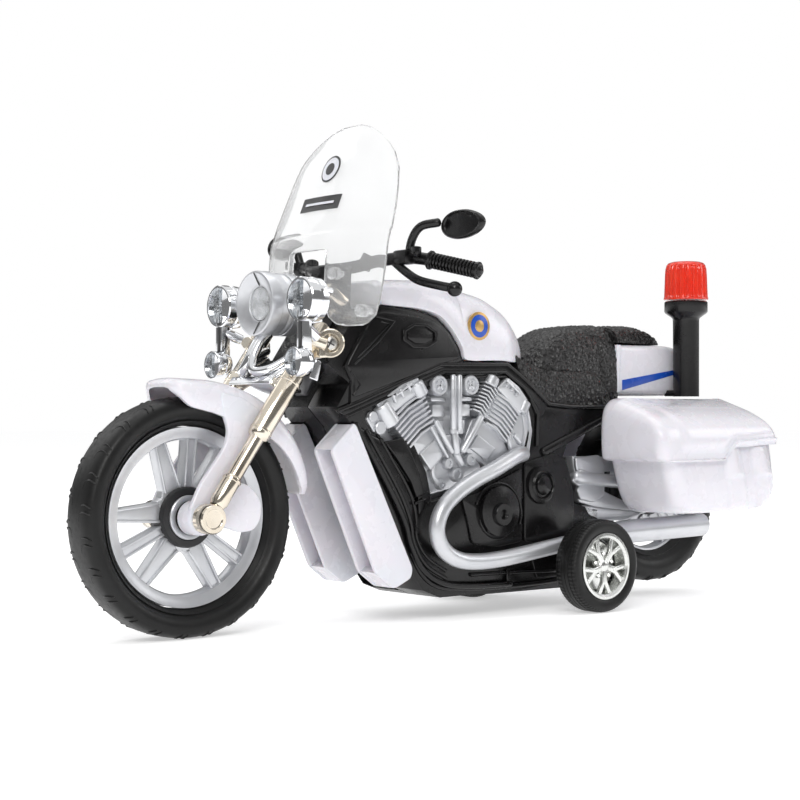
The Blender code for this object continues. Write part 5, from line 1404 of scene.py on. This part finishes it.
def motor():
    for side, label in SIDES:
        piece(f"motor_case_half_{label}", [from_cad(f"motor_case_{label}", 0.35)], "grey",
              "chassis", f"motor_case_{label}")
    for name, look, body, bevel in (
            ("drive_axle", "steel", "drive_wheels", 0.15), ("drive_pinion", "steel", "drive_wheels", 0.06),
            ("middle_gear_pin", "steel", "chassis", 0.15), ("spring_pin", "steel", "chassis", 0.15),
            ("middle_gear", "nylon", "middle_gear", 0.06),
            ("spring_gear", "nylon", "spring_gear", 0.06),
            ("mainspring", "steel", "spring_gear", 0.03)):
        piece(f"{name}_finished", [from_cad(name, bevel, 1)], look, body, name)


frame_halves()
engine()
exhausts()
shrouds()
rear_end()
tank()
seat()
tail()
saddlebags()
beacon_light()
motor()


# ---------------------------------------------------------------- floor, light and camera

FLOOR_REACH, FLOOR_GLOW = 6.0, 0.46         # metres, emission
ROOM_LIGHT, BACKDROP = 0.20, 1.0            # world strength on the toy, and as seen
SKY_POWER, SKY_ANGLE = 1.3, math.radians(110)
CAMERA_PLACE, CAMERA_TARGET, LENS = (0.2857, 0.3320, 0.0498), (0.0120, 0.0, 0.0547), 76.5


def studio():
    floor = bpy.data.meshes.new("floor")
    reach = FLOOR_REACH
    floor.from_pydata([(-reach, -reach, 0), (reach, -reach, 0), (reach, reach, 0), (-reach, reach, 0)], [],
                      [(0, 1, 2, 3)])
    ground = bpy.data.objects.new("floor", floor)
    link(ground)
    floor.materials.append(surface("floor_paper", (0.90, 0.90, 0.905), (0.88, 0.88, 0.885), (0.85, 0.95),
                                   patch=4.0, grain=0.5, bump=0.02, depth=0.02,
                                   Emission_Color=(1.0, 1.0, 1.0, 1), Emission_Strength=FLOOR_GLOW))
    world = bpy.data.worlds.new("studio")
    bpy.context.scene.world = world
    world.use_nodes = True
    tree = world.node_tree
    backdrop = tree.nodes["Background"]
    backdrop.inputs["Color"].default_value = (1.0, 1.0, 1.0, 1)
    rays = tree.nodes.new("ShaderNodeLightPath")
    seen = tree.nodes.new("ShaderNodeMath")
    seen.operation = "MAXIMUM"
    tree.links.new(rays.outputs["Is Camera Ray"], seen.inputs[0])
    tree.links.new(rays.outputs["Is Transmission Ray"], seen.inputs[1])
    level = tree.nodes.new("ShaderNodeMapRange")
    level.inputs["To Min"].default_value = ROOM_LIGHT
    level.inputs["To Max"].default_value = BACKDROP
    tree.links.new(seen.outputs[0], level.inputs["Value"])
    tree.links.new(level.outputs[0], backdrop.inputs["Strength"])
    for name, place, aim, size, power, tint in (
            ("key", (0.62, 0.62, 0.62), (0, 0, 0.05), 0.42, 4.2, (1.0, 0.995, 0.98)),
            ("top", (-0.10, -0.10, 1.05), (0, 0, 0.03), 0.70, 2.4, (1.0, 1.0, 1.0)),
            ("rear", (-0.75, 0.45, 0.40), (-0.05, 0, 0.05), 0.40, 1.2, (1.0, 1.0, 1.0)),
            ("far", (0.20, -0.85, 0.55), (0, 0, 0.05), 0.60, 1.0, (1.0, 1.0, 1.0))):
        lamp = bpy.data.lights.new(name, "AREA")
        lamp.shape = "SQUARE"
        lamp.size = size
        lamp.energy = power
        lamp.color = tint
        holder = bpy.data.objects.new(name, lamp)
        holder.location = place
        holder.rotation_euler = (Vector(aim) - Vector(place)).to_track_quat("-Z", "Y").to_euler()
        link(holder)
    lamp = bpy.data.lights.new("sky", "SUN")
    lamp.energy = SKY_POWER
    lamp.angle = SKY_ANGLE
    link(bpy.data.objects.new("sky", lamp))
    bpy.context.scene.view_settings.view_transform = "Standard"


def camera():
    lens = bpy.data.cameras.new("camera")
    lens.lens = LENS
    lens.sensor_width = 36
    holder = bpy.data.objects.new("camera", lens)
    place, target = Vector(CAMERA_PLACE), Vector(CAMERA_TARGET)
    holder.location = place
    holder.rotation_euler = (target - place).to_track_quat("-Z", "Y").to_euler()
    link(holder)
    bpy.context.scene.camera = holder


studio()
camera()
bpy.context.view_layer.update()
